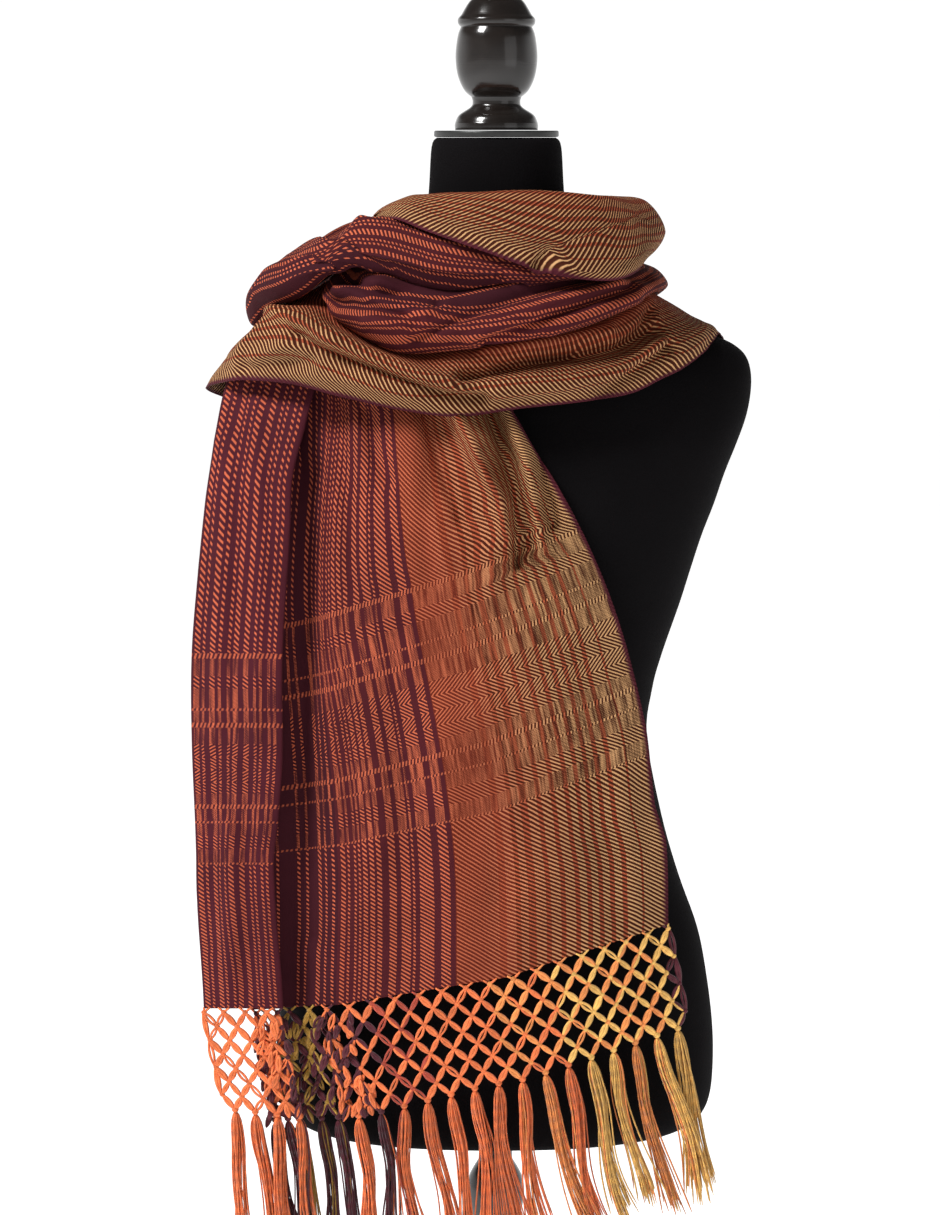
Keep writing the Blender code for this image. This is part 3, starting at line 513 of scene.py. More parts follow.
# Rows of the wraps' tables: where the rising wrap slants and over how many rows, and where the collar begins
SLANT_MIDDLE = 7.0
SLANT_ROWS = 4.0
COLLAR_START = 13.4
COLLAR_ROWS = 1.6

# Woven structure: how far apart the twill's lines are along the warp, how steeply they climb, how light the
# ground between them is, and how wide that ground is, on the hanging tail and on the wraps' two halves
TAIL_TWILL = (3.4, 0.81, 1.0, 1.12)
TAN_WRAP_TWILL = (3.6, 0.98, 1.05, 1.50)
MAROON_WRAP_TWILL = (2.9, 0.81, 0.85, 1.0)
FLOAT_EDGE = 2.6
HERRINGBONE_HALF = 11.25
HERRINGBONE_SLOPE = 1.15
STRIPE_EDGE = 0.35
TWILL_WANDER = 1.4

# Plain-woven bands: how far apart their warps and wefts are, how strongly they check, and how strongly light
# streaks run along their warps, from which level
TABBY_WARP = 1.9
TABBY_WEFT = 2.1
TABBY_CHECK = 1.1
TABBY_STREAK = 2.6
TABBY_GROUND = -0.92

# The flecks beside the bands: how far apart, how they lean, how sharp and from which level, and their cover
FLECK_STEP = 2.9
FLECK_LEAN = 0.08
FLECK_EDGE = 2.4
FLECK_GROUND = -0.75
FLECK_COVER = 0.7

# How much the yarn's grain and the worn patches dim the cloth, each as (how much it varies, least brightness),
# and how strongly the grain shows in the cloth's relief
GRAIN_SHADE = (0.8, 0.55)
PATCH_SHADE = (0.6, 0.70)
GRAIN_RELIEF = 0.45

# The cloth's ground across its width: where each colour begins
GROUNDS = (
    (0.0, (0.062, 0.009, 0.016)),
    (3.6, (0.050, 0.010, 0.004)),
    (70.0, (0.062, 0.010, 0.004)),
    (120.0, (0.125, 0.016, 0.008)),
    (166.0, (0.068, 0.0095, 0.0135)),
    # From 260 the ground is darker: painted shade for the flap's shadow on the panel beside its fold, wherever
    # this stretch of the cloth shows
    (260.0, (0.047, 0.0076, 0.0128)),
    (350.0, (0.064, 0.0095, 0.0165)),
)

# Its floating yarn, each colour running into the next
FLOATS = (
    (0.0, (0.085, 0.014, 0.022)),
    (3.4, (0.085, 0.014, 0.022)),
    (4.0, (0.66, 0.370, 0.168)),
    (64.0, (0.66, 0.345, 0.155)),
    (112.0, (0.58, 0.205, 0.094)),
    (146.0, (0.49, 0.122, 0.056)),
    (166.0, (0.50, 0.122, 0.056)),
    (172.0, (0.62, 0.142, 0.064)),
    (230.0, (0.62, 0.142, 0.064)),
    (262.0, (0.57, 0.120, 0.055)),
    (480.0, (0.57, 0.120, 0.055)),
)
RED_FLOAT = (0.46, 0.105, 0.044)

# Red warp stripes among the tan ones: where each begins and how wide it is
RED_STRIPES = (
    (19.0, 3.0), (32.0, 4.0), (43.0, 2.6), (51.5, 3.8), (61.5, 2.8), (69.5, 4.2), (82.0, 4.0),
    (93.5, 3.4), (105.0, 4.2), (116.0, 3.8), (127.0, 4.4),
)

# Stripes of the maroon half that float orange yarn: where each begins and how wide it is
ORANGE_STRIPES = (
    (167.4, 1.2), (170.0, 6.6), (182.6, 1.3), (185.4, 9.2), (198.2, 1.4), (202.0, 6.6), (213.6, 5.0),
    (223.2, 3.9), (229.8, 3.2), (235.8, 2.4), (241.4, 1.7), (244.6, 1.6), (250.2, 1.4), (254.6, 2.8),
    (261.0, 1.8),
)
DOTTED_STRIPES = (
    (267.2, 1.9), (272.4, 1.4), (275.6, 1.4), (285.4, 2.2), (292.2, 1.5), (305.0, 1.3), (318.0, 1.3),
    (334.0, 1.3),
)
FLAP_STRIPES = (
    (356.8, 1.6), (361.2, 1.8), (366.2, 2.3), (370.2, 1.8), (375.6, 3.8), (382.8, 4.2), (390.0, 1.7),
    (394.2, 1.7), (399.0, 3.8), (405.4, 1.6), (409.8, 4.2),
)

# The stripes as the maroon wraps show them, wide dashed ones between finer dotted ones
WRAP_WIDE_STRIPES = (
    (167.4, 1.2), (170.0, 7.5), (182.6, 1.3), (185.2, 9.6), (197.6, 1.6), (204.0, 5.0), (217.6, 4.4),
    (236.0, 4.2), (254.0, 3.4), (272.0, 3.2), (290.0, 2.6),
)
WRAP_DOTTED_STRIPES = (
    (200.8, 1.6), (212.4, 1.7), (225.4, 1.7), (230.4, 1.6), (244.0, 1.7), (248.6, 1.6), (261.2, 1.7),
    (266.2, 1.6), (279.4, 1.7), (284.6, 1.6), (297.4, 1.7),
)

# The patterned stripe across the cloth, from the hem: where each band begins and how it is woven
BANDS = (
    (0.0, "twill"), (130.5, "fleck"), (133.5, "tabby"), (148.0, "twill"), (161.0, "tabby"),
    (173.5, "fleck"), (175.5, "tabby"), (188.5, "fleck"), (191.5, "tabby"), (202.5, "herringbone"),
    (247.5, "tabby"), (262.0, "fleck"), (265.0, "tabby"), (276.0, "fleck"), (278.0, "tabby"),
    (294.0, "twill"), (304.5, "tabby"), (318.5, "fleck"), (321.5, "twill"),
)
BAND_REACH = 520.0

# How far the tassels lean to the right at their ends, by their share of the hem from the far selvedge
TASSEL_LEANS = (
    (0.0, 14), (0.25, 18), (0.45, 14), (0.62, 12), (0.72, 26), (0.80, 30), (0.88, 22), (0.95, 24),
    (1.0, 18),
)

# Yarn colours of the fringe and where each begins, as a share of the hem from the far selvedge
MAROON_YARN = (0.10, 0.014, 0.024)
ORANGE_YARN = (0.95, 0.215, 0.065)
RUST_YARN = (0.50, 0.075, 0.04)
LIGHT_ORANGE_YARN = (0.98, 0.33, 0.09)
MUSTARD_YARN = (0.56, 0.31, 0.055)
GOLD_YARN = (1.0, 0.57, 0.15)
FRINGE_ZONES = (
    (0.0, ORANGE_YARN, ORANGE_YARN),
    (0.14, ORANGE_YARN, MAROON_YARN),
    (0.24, MAROON_YARN, MUSTARD_YARN),
    (0.36, MAROON_YARN, ORANGE_YARN),
    (0.45, ORANGE_YARN, RUST_YARN),
    (0.54, ORANGE_YARN, ORANGE_YARN),
    (0.66, ORANGE_YARN, LIGHT_ORANGE_YARN),
    (0.78, LIGHT_ORANGE_YARN, GOLD_YARN),
    (0.95, GOLD_YARN, GOLD_YARN),
    (0.985, MAROON_YARN, GOLD_YARN),
)


def placed(drawn):
    """World points in metres for points (across, up, out) of the front drawing, in an array of any shape."""
    across, up, out = np.moveaxis(np.asarray(drawn, float), -1, 0)
    pitch = math.radians(VIEW_PITCH)
    eye_y = -VIEW_DISTANCE * math.cos(pitch)
    eye_z = TORSO_BOTTOM + VIEW_CENTRE_UP + VIEW_DISTANCE * math.sin(pitch)
    ray_y = VIEW_DISTANCE * math.cos(pitch) + (up - VIEW_CENTRE_UP) * math.sin(pitch)
    ray_z = -VIEW_DISTANCE * math.sin(pitch) + (up - VIEW_CENTRE_UP) * math.cos(pitch)
    reach = (-out - eye_y) / ray_y
    x = VIEW_CENTRE_ACROSS + (across - VIEW_CENTRE_ACROSS) * reach
    return np.stack([x, -out, eye_z + ray_z * reach], axis=-1) * MM


def smooth(keys, places, closed=False):
    """Points on a Catmull-Rom curve through the keys, at places counted in keys from the first."""
    keys = np.asarray(keys, float)
    places = np.asarray(places, float)
    base = np.floor(places).astype(int)
    if not closed:
        base = np.clip(base, 0, len(keys) - 2)
    part = (places - base).reshape((-1,) + (1,) * (keys.ndim - 1))

    def key(offset):
        index = base + offset
        return keys[index % len(keys)] if closed else keys[np.clip(index, 0, len(keys) - 1)]

    a, b, c, d = key(-1), key(0), key(1), key(2)
    return b + 0.5 * part * (c - a + part * (2 * a - 5 * b + 4 * c - d + part * (3 * (b - c) + d - a)))


def table_curve(table, at):
    """Each further column of a table at the given values of its first column, joined smoothly."""
    table = np.asarray(table, float)
    places = np.interp(at, table[:, 0], np.arange(len(table)))
    return smooth(table[:, 1:], places)


def mesh_object(name, points, faces, finish):
    mesh = bpy.data.meshes.new(name)
    mesh.from_pydata([tuple(point) for point in points], [], faces)
    mesh.materials.append(finish)
    mesh.shade_smooth()
    obj = bpy.data.objects.new(name, mesh)
    bpy.context.scene.collection.objects.link(obj)
    return obj


def grid_faces(rows, columns):
    """Quads of a grid whose rows run one way and whose columns run the other."""
    corner = (np.arange(rows - 1)[:, None] * columns + np.arange(columns - 1)[None, :]).reshape(-1)
    return np.stack([corner, corner + columns, corner + columns + 1, corner + 1], axis=1).tolist()


def ring_faces(rings, sides):
    """Quads between rings of points that close on themselves."""
    first = np.arange(rings - 1)[:, None] * sides
    side = np.arange(sides)[None, :]
    corner = first + side
    after = first + (side + 1) % sides
    return np.stack([corner, after, after + sides, corner + sides], axis=2).reshape(-1, 4)


def stand_for(piece, node):
    """Declares a piece that rides on the one body in place of its solid."""
    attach(piece, "root")
    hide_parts(node)
    return piece


def corner_map(obj, name, places):
    """A UV map from a place for each point of the mesh."""
    layer = obj.data.uv_layers.new(name=name)
    loops = np.empty(len(obj.data.loops), np.int32)
    obj.data.loops.foreach_get("vertex_index", loops)
    layer.data.foreach_set("uv", np.asarray(places, np.float32)[loops].reshape(-1))


def corner_colour(obj, name, colours):
    """A colour attribute from a colour for each point of the mesh."""
    layer = obj.data.color_attributes.new(name=name, type="FLOAT_COLOR", domain="POINT")
    filled = np.concatenate([np.asarray(colours, np.float32), np.ones((len(colours), 1), np.float32)], axis=1)
    layer.data.foreach_set("color", filled.reshape(-1))


def apply_wall(obj, wall):
    """The sheet given its thickness, outwards and inwards alike, as a mesh of its own."""
    solidify = obj.modifiers.new("Wall", "SOLIDIFY")
    solidify.thickness = wall * MM
    solidify.offset = 0.0
    graph = bpy.context.evaluated_depsgraph_get()
    mesh = bpy.data.meshes.new_from_object(obj.evaluated_get(graph))
    obj.modifiers.clear()
    obj.data = mesh
    mesh.shade_smooth()


class Shader:
    """A material's nodes, made by short calls that each return a socket."""

    def __init__(self, name):
        self.material = bpy.data.materials.new(name)
        self.material.use_nodes = True
        self.tree = self.material.node_tree
        self.surface = self.tree.nodes["Principled BSDF"]

    def node(self, kind, **settings):
        made = self.tree.nodes.new(kind)
        for key, value in settings.items():
            setattr(made, key, value)
        return made

    def put(self, socket, value):
        if isinstance(value, bpy.types.NodeSocket):
            self.tree.links.new(value, socket)
        elif isinstance(value, tuple) and len(value) == 3 and socket.type == "RGBA":
            socket.default_value = (*value, 1.0)
        else:
            socket.default_value = value

    def math(self, operation, first, second=0.0, third=0.0, clamp=False):
        made = self.node("ShaderNodeMath", operation=operation, use_clamp=clamp)
        for socket, value in zip(made.inputs, (first, second, third)):
            self.put(socket, value)
        return made.outputs[0]

    def times(self, first, second, clamp=False):
        return self.math("MULTIPLY", first, second, clamp=clamp)

    def times_plus(self, value, factor, added, clamp=False):
        return self.math("MULTIPLY_ADD", value, factor, added, clamp)

    def mix(self, share, first, second, blend="MIX"):
        made = self.node("ShaderNodeMix", data_type="RGBA", blend_type=blend)
        self.put(made.inputs["Factor"], share)
        self.put(made.inputs["A"], first)
        self.put(made.inputs["B"], second)
        return made.outputs["Result"]

    def shaded(self, colour, level):
        """A colour made darker or lighter by a number."""
        return self.mix(1.0, colour, self.place(level, level, level), blend="MULTIPLY")

    def blend(self, share, first, second):
        """One number mixed into another."""
        made = self.node("ShaderNodeMix", data_type="FLOAT")
        self.put(made.inputs["Factor"], share)
        self.put(made.inputs["A"], first)
        self.put(made.inputs["B"], second)
        return made.outputs["Result"]

    def map_places(self, name):
        """The two coordinates of a UV map, in millimetres."""
        made = self.node("ShaderNodeUVMap", uv_map=name)
        parts = self.node("ShaderNodeSeparateXYZ")
        self.put(parts.inputs[0], made.outputs[0])
        return self.times(parts.outputs[0], 1 / MM), self.times(parts.outputs[1], 1 / MM)

    def place(self, x, y, z=0.0):
        made = self.node("ShaderNodeCombineXYZ")
        for socket, value in zip(made.inputs, (x, y, z)):
            self.put(socket, value)
        return made.outputs[0]

    def noise(self, vector, scale, detail=2.0):
        made = self.node("ShaderNodeTexNoise")
        self.put(made.inputs["Vector"], vector)
        made.inputs["Scale"].default_value = scale
        made.inputs["Detail"].default_value = detail
        return made.outputs["Fac"]

    def streaks(self, across, along, across_scale, along_scale, detail):
        """Noise drawn out along the yarns, with a scale of its own each way."""
        place = self.place(self.times(across, across_scale), self.times(along, along_scale))
        return self.noise(place, 1.0, detail)

    def ramp(self, share, stops, sharp=True):
        """A colour for each share, from stops of (share, colour)."""
        made = self.node("ShaderNodeValToRGB")
        made.color_ramp.interpolation = "CONSTANT" if sharp else "LINEAR"
        elements = made.color_ramp.elements
        while len(elements) < len(stops):
            elements.new(1.0)
        for element, (at, colour) in zip(elements, stops):
            element.position = at
            element.color = (*colour, 1.0)
        self.put(made.inputs[0], share)
        return made.outputs[0]

    def stripes(self, across, table, reach):
        """1 where the cloth's width lies on a stripe of the table and 0 elsewhere."""
        stops = [(0.0, (0.0, 0.0, 0.0))]
        for start, width in table:
            stops.append((start / reach, (1.0, 1.0, 1.0)))
            stops.append(((start + width) / reach, (0.0, 0.0, 0.0)))
        return self.ramp(self.math("DIVIDE", across, reach), stops)

    def wave(self, phase):
        """A smooth wave from 0 to 1, one crest for each whole number of the phase."""
        turned = self.times(phase, 2 * math.pi)
        return self.times_plus(self.math("SINE", turned), 0.5, 0.5)

    def bump(self, height, distance, strength=1.0):
        made = self.node("ShaderNodeBump")
        made.inputs["Strength"].default_value = strength
        made.inputs["Distance"].default_value = distance
        self.put(made.inputs["Height"], height)
        self.put(self.surface.inputs["Normal"], made.outputs["Normal"])

    def finish(self, colour, roughness, **levels):
        self.put(self.surface.inputs["Base Color"], colour)
        self.put(self.surface.inputs["Roughness"], roughness)
        for name, value in levels.items():
            self.put(self.surface.inputs[name.replace("_", " ")], value)
        return self.material


def band_mask(shader, along, kind):
    """1 where the cloth's length lies in a band woven in the given way."""
    stops = []
    for start, woven in BANDS:
        level = 1.0 if woven == kind else 0.0
        stops.append((start / BAND_REACH, (level, level, level)))
    return shader.ramp(shader.math("DIVIDE", along, BAND_REACH), stops)


def twill_lines(shader, across, along, twill, patterned):
    """The height of the twill's floats, from 0 between them to 1 on them, turned back in the herringbone."""
    step, slope, _, _ = twill
    drift = shader.noise(shader.place(across, along), 0.05, 2.0)
    wander = shader.times_plus(drift, TWILL_WANDER, -TWILL_WANDER / 2)
    lines = shader.times_plus(across, -slope, along)
    if patterned:
        turned = shader.math("PINGPONG", along, HERRINGBONE_HALF)
        climbed = shader.times(turned, HERRINGBONE_SLOPE)
        pointed = shader.times_plus(across, -slope, climbed)
        lines = shader.blend(band_mask(shader, along, "herringbone"), lines, pointed)
    return shader.wave(shader.math("DIVIDE", shader.math("ADD", lines, wander), step))


def striped_colours(shader, zone, stripe_tables, ground_level):
    """The cloth's ground, its floating yarn, and how much of the yarn shows, across its width."""
    share = shader.math("DIVIDE", zone, CLOTH_WIDTH)
    grounds = [(start / CLOTH_WIDTH, tuple(np.multiply(colour, ground_level))) for start, colour in GROUNDS]
    ground = shader.ramp(share, grounds)
    light = shader.ramp(share, [(start / CLOTH_WIDTH, colour) for start, colour in FLOATS], sharp=False)
    light = shader.mix(shader.stripes(zone, RED_STRIPES, CLOTH_WIDTH), light, RED_FLOAT)
    covered = shader.stripes(zone, stripe_tables[0], CLOTH_WIDTH)
    for table in stripe_tables[1:]:
        covered = shader.math("MAXIMUM", covered, shader.stripes(zone, table, CLOTH_WIDTH))
    striped = shader.math("GREATER_THAN", zone, ORANGE_STRIPES[0][0] - 1.2)
    return ground, light, shader.blend(striped, 1.0, covered)


def banded(shader, across, along, floats, covered):
    """The floats and their cover with the plain-woven bands and the rows of flecks laid in."""
    tabby = band_mask(shader, along, "tabby")
    fleck = band_mask(shader, along, "fleck")
    brushed = shader.streaks(across, along, 0.5, 0.03, 4.0)
    warps = shader.wave(shader.math("DIVIDE", across, TABBY_WARP))
    wefts = shader.wave(shader.math("DIVIDE", along, TABBY_WEFT))
    checks = shader.times(shader.math("SUBTRACT", warps, 0.5), shader.math("SUBTRACT", wefts, 0.5))
    plain = shader.times_plus(brushed, TABBY_STREAK, TABBY_GROUND)
    plain = shader.times_plus(checks, TABBY_CHECK, plain, clamp=True)
    ticks = shader.wave(shader.times_plus(along, FLECK_LEAN, shader.math("DIVIDE", across, FLECK_STEP)))
    ticks = shader.times_plus(ticks, FLECK_EDGE, FLECK_GROUND, clamp=True)
    floats = shader.blend(fleck, shader.blend(tabby, floats, plain), ticks)
    covered = shader.math("MAXIMUM", covered, shader.times(fleck, FLECK_COVER))
    return floats, covered


def woven_cloth(name, patterned, twill, stripe_tables):
    """The shawl's cloth: twill floats over a darker ground, striped across, with bands if it is patterned."""
    shader = Shader(name)
    across, along = shader.map_places("Cloth")
    zone, _ = shader.map_places("Stripe")
    waver = shader.noise(shader.place(across, along), 0.09, 2.0)
    zone = shader.times_plus(shader.math("SUBTRACT", waver, 0.5), STRIPE_EDGE * 2, zone)
    height = twill_lines(shader, across, along, twill, patterned)
    floats = shader.times_plus(height, FLOAT_EDGE, -twill[3], clamp=True)
    ground, light, covered = striped_colours(shader, zone, stripe_tables, twill[2])
    if patterned:
        floats, covered = banded(shader, across, along, floats, covered)
    grain = shader.streaks(across, along, 2.2, 0.7, 2.0)
    shown = shader.times(floats, covered)
    shown = shader.times(shown, shader.times_plus(grain, *GRAIN_SHADE), clamp=True)
    colour = shader.mix(shown, ground, light)
    patches = shader.noise(shader.place(across, along), 0.02, 2.0)
    worn = shader.times_plus(patches, *PATCH_SHADE)
    colour = shader.shaded(colour, worn)
    relief = shader.times_plus(height, covered, shader.times(grain, GRAIN_RELIEF))
    shader.bump(relief, 0.0006, 1.0)
    roughness = shader.times_plus(shown, -0.12, 0.82)
    sheen = {"Sheen_Weight": 0.03, "Sheen_Roughness": 0.5, "Sheen_Tint": (0.8, 0.3, 0.2)}
    return shader.finish(colour, roughness, Specular_IOR_Level=0.1, **sheen)


def yarn_material():
    """Twisted two-ply yarn, coloured by each strand, with its twist along the strand."""
    shader = Shader("fringe_yarn_finish")
    around, along = shader.map_places("Yarn")
    colour = shader.node("ShaderNodeVertexColor", layer_name="YarnColour").outputs["Color"]
    twist = shader.times_plus(around, 3.0, shader.math("DIVIDE", along, 9.0))
    ply = shader.wave(twist)
    fibre = shader.streaks(around, along, 14.0, 0.8, 3.0)
    # The ply's wave dims the yarn between its twist's crests: painted shade in the grooves between the plies;
    # the fibre's streaks are the yarn's own tone
    level = shader.times_plus(ply, 0.22, 0.82)
    level = shader.times(level, shader.times_plus(fibre, 0.7, 0.66))
    shaded = shader.shaded(colour, level)
    shader.bump(shader.times_plus(fibre, 0.4, ply), 0.0004, 0.8)
    return shader.finish(shaded, 0.62, Sheen_Weight=0.12, Sheen_Roughness=0.4, Specular_IOR_Level=0.3)


def velvet_material():
    shader = Shader("velvet_finish")
    where = shader.node("ShaderNodeTexCoord").outputs["Object"]
    pile = shader.noise(where, 900.0, 2.0)
    nap = shader.noise(where, 9.0, 4.0)
    level = shader.times_plus(nap, 0.9, 0.5)
    level = shader.times(level, shader.times_plus(pile, 0.6, 0.7))
    colour = shader.shaded((0.0052, 0.0045, 0.0050), level)
    shader.bump(pile, 0.0006, 0.6)
    sheen = {"Sheen_Weight": 0.05, "Sheen_Roughness": 0.4, "Sheen_Tint": (0.12, 0.11, 0.12)}
    return shader.finish(colour, 0.9, Specular_IOR_Level=0.04, **sheen)


def lacquer_material():
    """Black lacquered turned wood, with faint turning marks under the gloss."""
    shader = Shader("gloss_black_wood_finish")
    where = shader.node("ShaderNodeTexCoord").outputs["Object"]
    parts = shader.node("ShaderNodeSeparateXYZ")
    shader.put(parts.inputs[0], where)
    marks = shader.noise(shader.place(0.0, 0.0, parts.outputs[2]), 700.0, 2.0)
    dust = shader.noise(where, 120.0, 3.0)
    colour = shader.mix(dust, (0.0075, 0.0058, 0.0052), (0.0165, 0.0120, 0.0100))
    shader.bump(marks, 0.00012, 0.5)
    roughness = shader.times_plus(dust, 0.14, 0.12)
    return shader.finish(colour, roughness, Coat_Weight=0.35, Coat_Roughness=0.08, Specular_IOR_Level=0.35)


def metal_material():
    shader = Shader("black_metal_finish")
    where = shader.node("ShaderNodeTexCoord").outputs["Object"]
    grain = shader.noise(where, 260.0, 3.0)
    colour = shader.mix(grain, (0.030, 0.031, 0.030), (0.055, 0.056, 0.054))
    shader.bump(grain, 0.0002, 0.4)
    roughness = shader.times_plus(grain, 0.2, 0.3)
    return shader.finish(colour, roughness, Metallic=0.6)


def profile_points(stretches):
    """A turned outline as (radius, height), smooth along each stretch and with an edge between stretches."""
    points = []
    for stretch in stretches:
        steps = 1 if len(stretch) == 2 else (len(stretch) - 1) * TURNED_STEPS
        places = np.linspace(0, len(stretch) - 1, steps + 1)
        points.extend(smooth(stretch, places).tolist())
    return points


def turned(name, stretches, finish, height_of):
    """A turned piece about the form's axis, closed on the axis at both ends."""
    profile = profile_points(stretches)
    angles = np.arange(TURNED_SIDES) * 2 * math.pi / TURNED_SIDES
    points = []
    for radius, height in profile:
        z = height_of(height)
        for angle in angles:
            points.append((radius * MM * math.cos(angle), radius * MM * math.sin(angle), z))
    made = mesh_object(name, points, ring_faces(len(profile), TURNED_SIDES).tolist(), finish)
    weld = made.modifiers.new("Weld", "WELD")
    weld.merge_threshold = WELD_REACH
    made.data.set_sharp_from_angle(angle=math.radians(SHARP_ANGLE))
    return made


def drawn_height(up):
    return float(placed((0, up, 0))[2])


def torso_ring(height, half_width, front, back):
    width = abs(placed((half_width, height, 0))[0])
    angle = np.arange(TORSO_SIDES) * 2 * math.pi / TORSO_SIDES
    c, s = np.cos(angle), np.sin(angle)
    power = 2 / TORSO_SQUARENESS
    depth = np.where(s > 0, back, front) * MM
    x = np.sign(c) * np.abs(c) ** power * width
    y = np.sign(s) * np.abs(s) ** power * depth
    return np.stack([x, y, np.full(TORSO_SIDES, drawn_height(height))], axis=1)


def make_torso(finish):
    rows = smooth(TORSO, np.linspace(0, len(TORSO) - 1, (len(TORSO) - 1) * TORSO_STEPS + 1))
    points = np.concatenate([torso_ring(*row) for row in rows])
    faces = [tuple(reversed(range(TORSO_SIDES)))]
    faces.extend(ring_faces(len(rows), TORSO_SIDES).tolist())
    faces.append(tuple(range(len(points) - TORSO_SIDES, len(points))))
    return mesh_object("dress_form_torso", points, faces, finish)


def make_form():
    gloss = lacquer_material()
    torso = make_torso(velvet_material())
    plate = turned("neck_cap_plate", PLATE, metal_material(), drawn_height)
    finial = turned("turned_finial", FINIAL, gloss, drawn_height)
    column = turned("turned_column", COLUMN, gloss, lambda height: height * MM)
    base = turned("turned_base", BASE, gloss, lambda height: height * MM)
    stand_for(torso, "form_torso")
    stand_for(plate, "form_plate")
    stand_for(finial, "form_finial")
    stand_for(column, "form_column")
    stand_for(base, "form_base")
    return torso


def surface_of(points, faces):
    return BVHTree.FromPolygons([tuple(point) for point in points], faces)


def laid_over(points, rests):
    """Points moved out until they clear each (surface, gap) beneath them."""
    points = np.array(points, float)
    for _ in range(REST_ROUNDS):
        for surface, gap in rests:
            for index, point in enumerate(points):
                nearest, normal, _, distance = surface.find_nearest(Vector(point), REST_REACH * MM)
                if nearest is None:
                    continue
                height = (Vector(point) - nearest).dot(normal)
                if distance < gap * MM or height < BENEATH_SHARE * distance:
                    points[index] += np.array(normal) * (gap * MM - height)
    return points


def distance_to_line(first, second, line):
    """How far each place (first, second) lies from a line of straight stretches."""
    away = np.full(np.broadcast(first, second).shape, np.inf)
    for start, end in zip(line[:-1], line[1:]):
        run = np.subtract(end, start)
        share = np.clip(((first - start[0]) * run[0] + (second - start[1]) * run[1]) / (run @ run), 0, 1)
        aside = np.hypot(first - start[0] - share * run[0], second - start[1] - share * run[1])
        away = np.minimum(away, aside)
    return away


def crease_heights(first, second, creases):
    """How far the creases stand out at each place, each a soft ridge or trough along its line."""
    total = np.zeros(np.broadcast(first, second).shape)
    for height, half_width, line in creases:
        away = distance_to_line(first, second, np.array(line, float))
        total += height * np.exp(-((away / half_width) ** 2))
    return total


def grid_normals(grid):
    """Unit normals of a grid of points, along the rows' direction crossed with the columns'."""
    normals = np.cross(np.gradient(grid, axis=0), np.gradient(grid, axis=1))
    return normals / np.maximum(np.linalg.norm(normals, axis=2, keepdims=True), TINY)


def reached(grid, axis):
    """How far each point lies along a row or a column of a grid, in millimetres from its first point."""
    steps = np.linalg.norm(np.diff(grid, axis=axis), axis=2) / MM
    first = np.zeros((grid.shape[0], 1)) if axis == 1 else np.zeros((1, grid.shape[1]))
    return np.concatenate([first, np.cumsum(steps, axis=axis)], axis=axis)


def cloth_piece(name, node, grid, across, along, stripe, finish):
    """A sheet of cloth on a grid of points, with its woven coordinates, in place of its solid."""
    rows, columns = grid.shape[:2]
    sheet = mesh_object(name, grid.reshape(-1, 3), grid_faces(rows, columns), finish)
    corner_map(sheet, "Cloth", np.stack([across, along], axis=-1).reshape(-1, 2) * MM)
    corner_map(sheet, "Stripe", np.stack([stripe, along], axis=-1).reshape(-1, 2) * MM)
    apply_wall(sheet, SHEET_WALL)
    return stand_for(sheet, node)


def line_points(line, rows):
    """(across, up) where a line of the tail crosses each row, counted from 0 at the hem to 1 at the top."""
    up = table_curve(np.column_stack([TAIL_WEFTS["row"], TAIL_WEFTS[line]]), rows)[:, 0]
    return np.stack([table_curve(TAIL_LINES[line], up)[:, 0], up], axis=1)


def tail_spots():
    """Key places across the tail: from line, to line, share of the way, layers in front of the panel."""
    spots = [("selvedge", "middle", 0.0, 0.0)]
    for start, end, steps in PANEL_SPANS:
        for step in range(1, steps + 1):
            spots.append((start, end, step / (steps + (end == "turn")), 0.0))
    return (*spots, *FLAP_SPOTS)


def tail_keys(rows):
    """Key places of the tail across each row: (across, up), layers in front, and place in the cloth."""
    spot = {line: line_points(line, rows) for line in TAIL_LINES}
    places, layers, cut = [], [], []
    for start, end, share, layer in tail_spots():
        places.append(spot[start] + (spot[end] - spot[start]) * share)
        layers.append(layer)
        cut.append(TAIL_CUT[start] + (TAIL_CUT[end] - TAIL_CUT[start]) * share)
    return np.stack(places, axis=1), np.array(layers), np.array(cut)


def tail_out(across, up):
    """How far the tail's base layer lies in front of the axis."""
    depth = table_curve(TAIL_DEPTH, up.reshape(-1)).reshape(up.shape + (2,))
    middle, edge = depth[..., 0], depth[..., 1]
    left = middle - (middle - edge) * (across / TAIL_HALF_SPAN) ** 2
    return np.where(across < 0, left, middle - TAIL_RIGHT_BEND * across**2)


def pinned(grid, pins, values):
    """Where each point lies across the cloth, by its way along its row between columns of a given place."""
    ways = reached(grid, 1)
    spots = [np.interp(way, way[pins], value) for way, value in zip(ways, values)]
    return np.array(spots)


def tail_grid():
    """Points of the tail, and where each lies across the cloth."""
    rows = np.linspace(0, 1, TAIL_ROWS)
    keys, layers, cut = tail_keys(rows)
    columns = np.linspace(0, len(layers) - 1, TAIL_COLUMNS)
    fine = smooth(keys.transpose(1, 0, 2), columns).transpose(1, 0, 2)
    across, up = fine[..., 0], fine[..., 1]
    layer = smooth(layers.reshape(-1, 1), columns)[:, 0]
    out = tail_out(across, up) + layer * LAYER_STEP
    out += crease_heights(across, up, TAIL_FOLDS) + crease_heights(across, up, TAIL_CREASES)
    out += crease_heights(across, up, TAIL_HOLLOWS) * np.clip(1.0 - 2.0 * layer, 0, 1)
    height, step_across, step_up, wander = TAIL_RIPPLES
    ripple = height * np.sin(across / step_across + 2.0 * np.sin(up / wander)) * np.sin(up / step_up)
    grid = placed(np.stack([across, up, out + ripple], axis=-1))
    pins = [int(np.argmin(np.abs(columns - place))) for place in TAIL_PINS]
    held = np.interp(columns[pins], np.arange(len(cut)), cut)
    return grid, pinned(grid, pins, np.tile(held, (TAIL_ROWS, 1)))


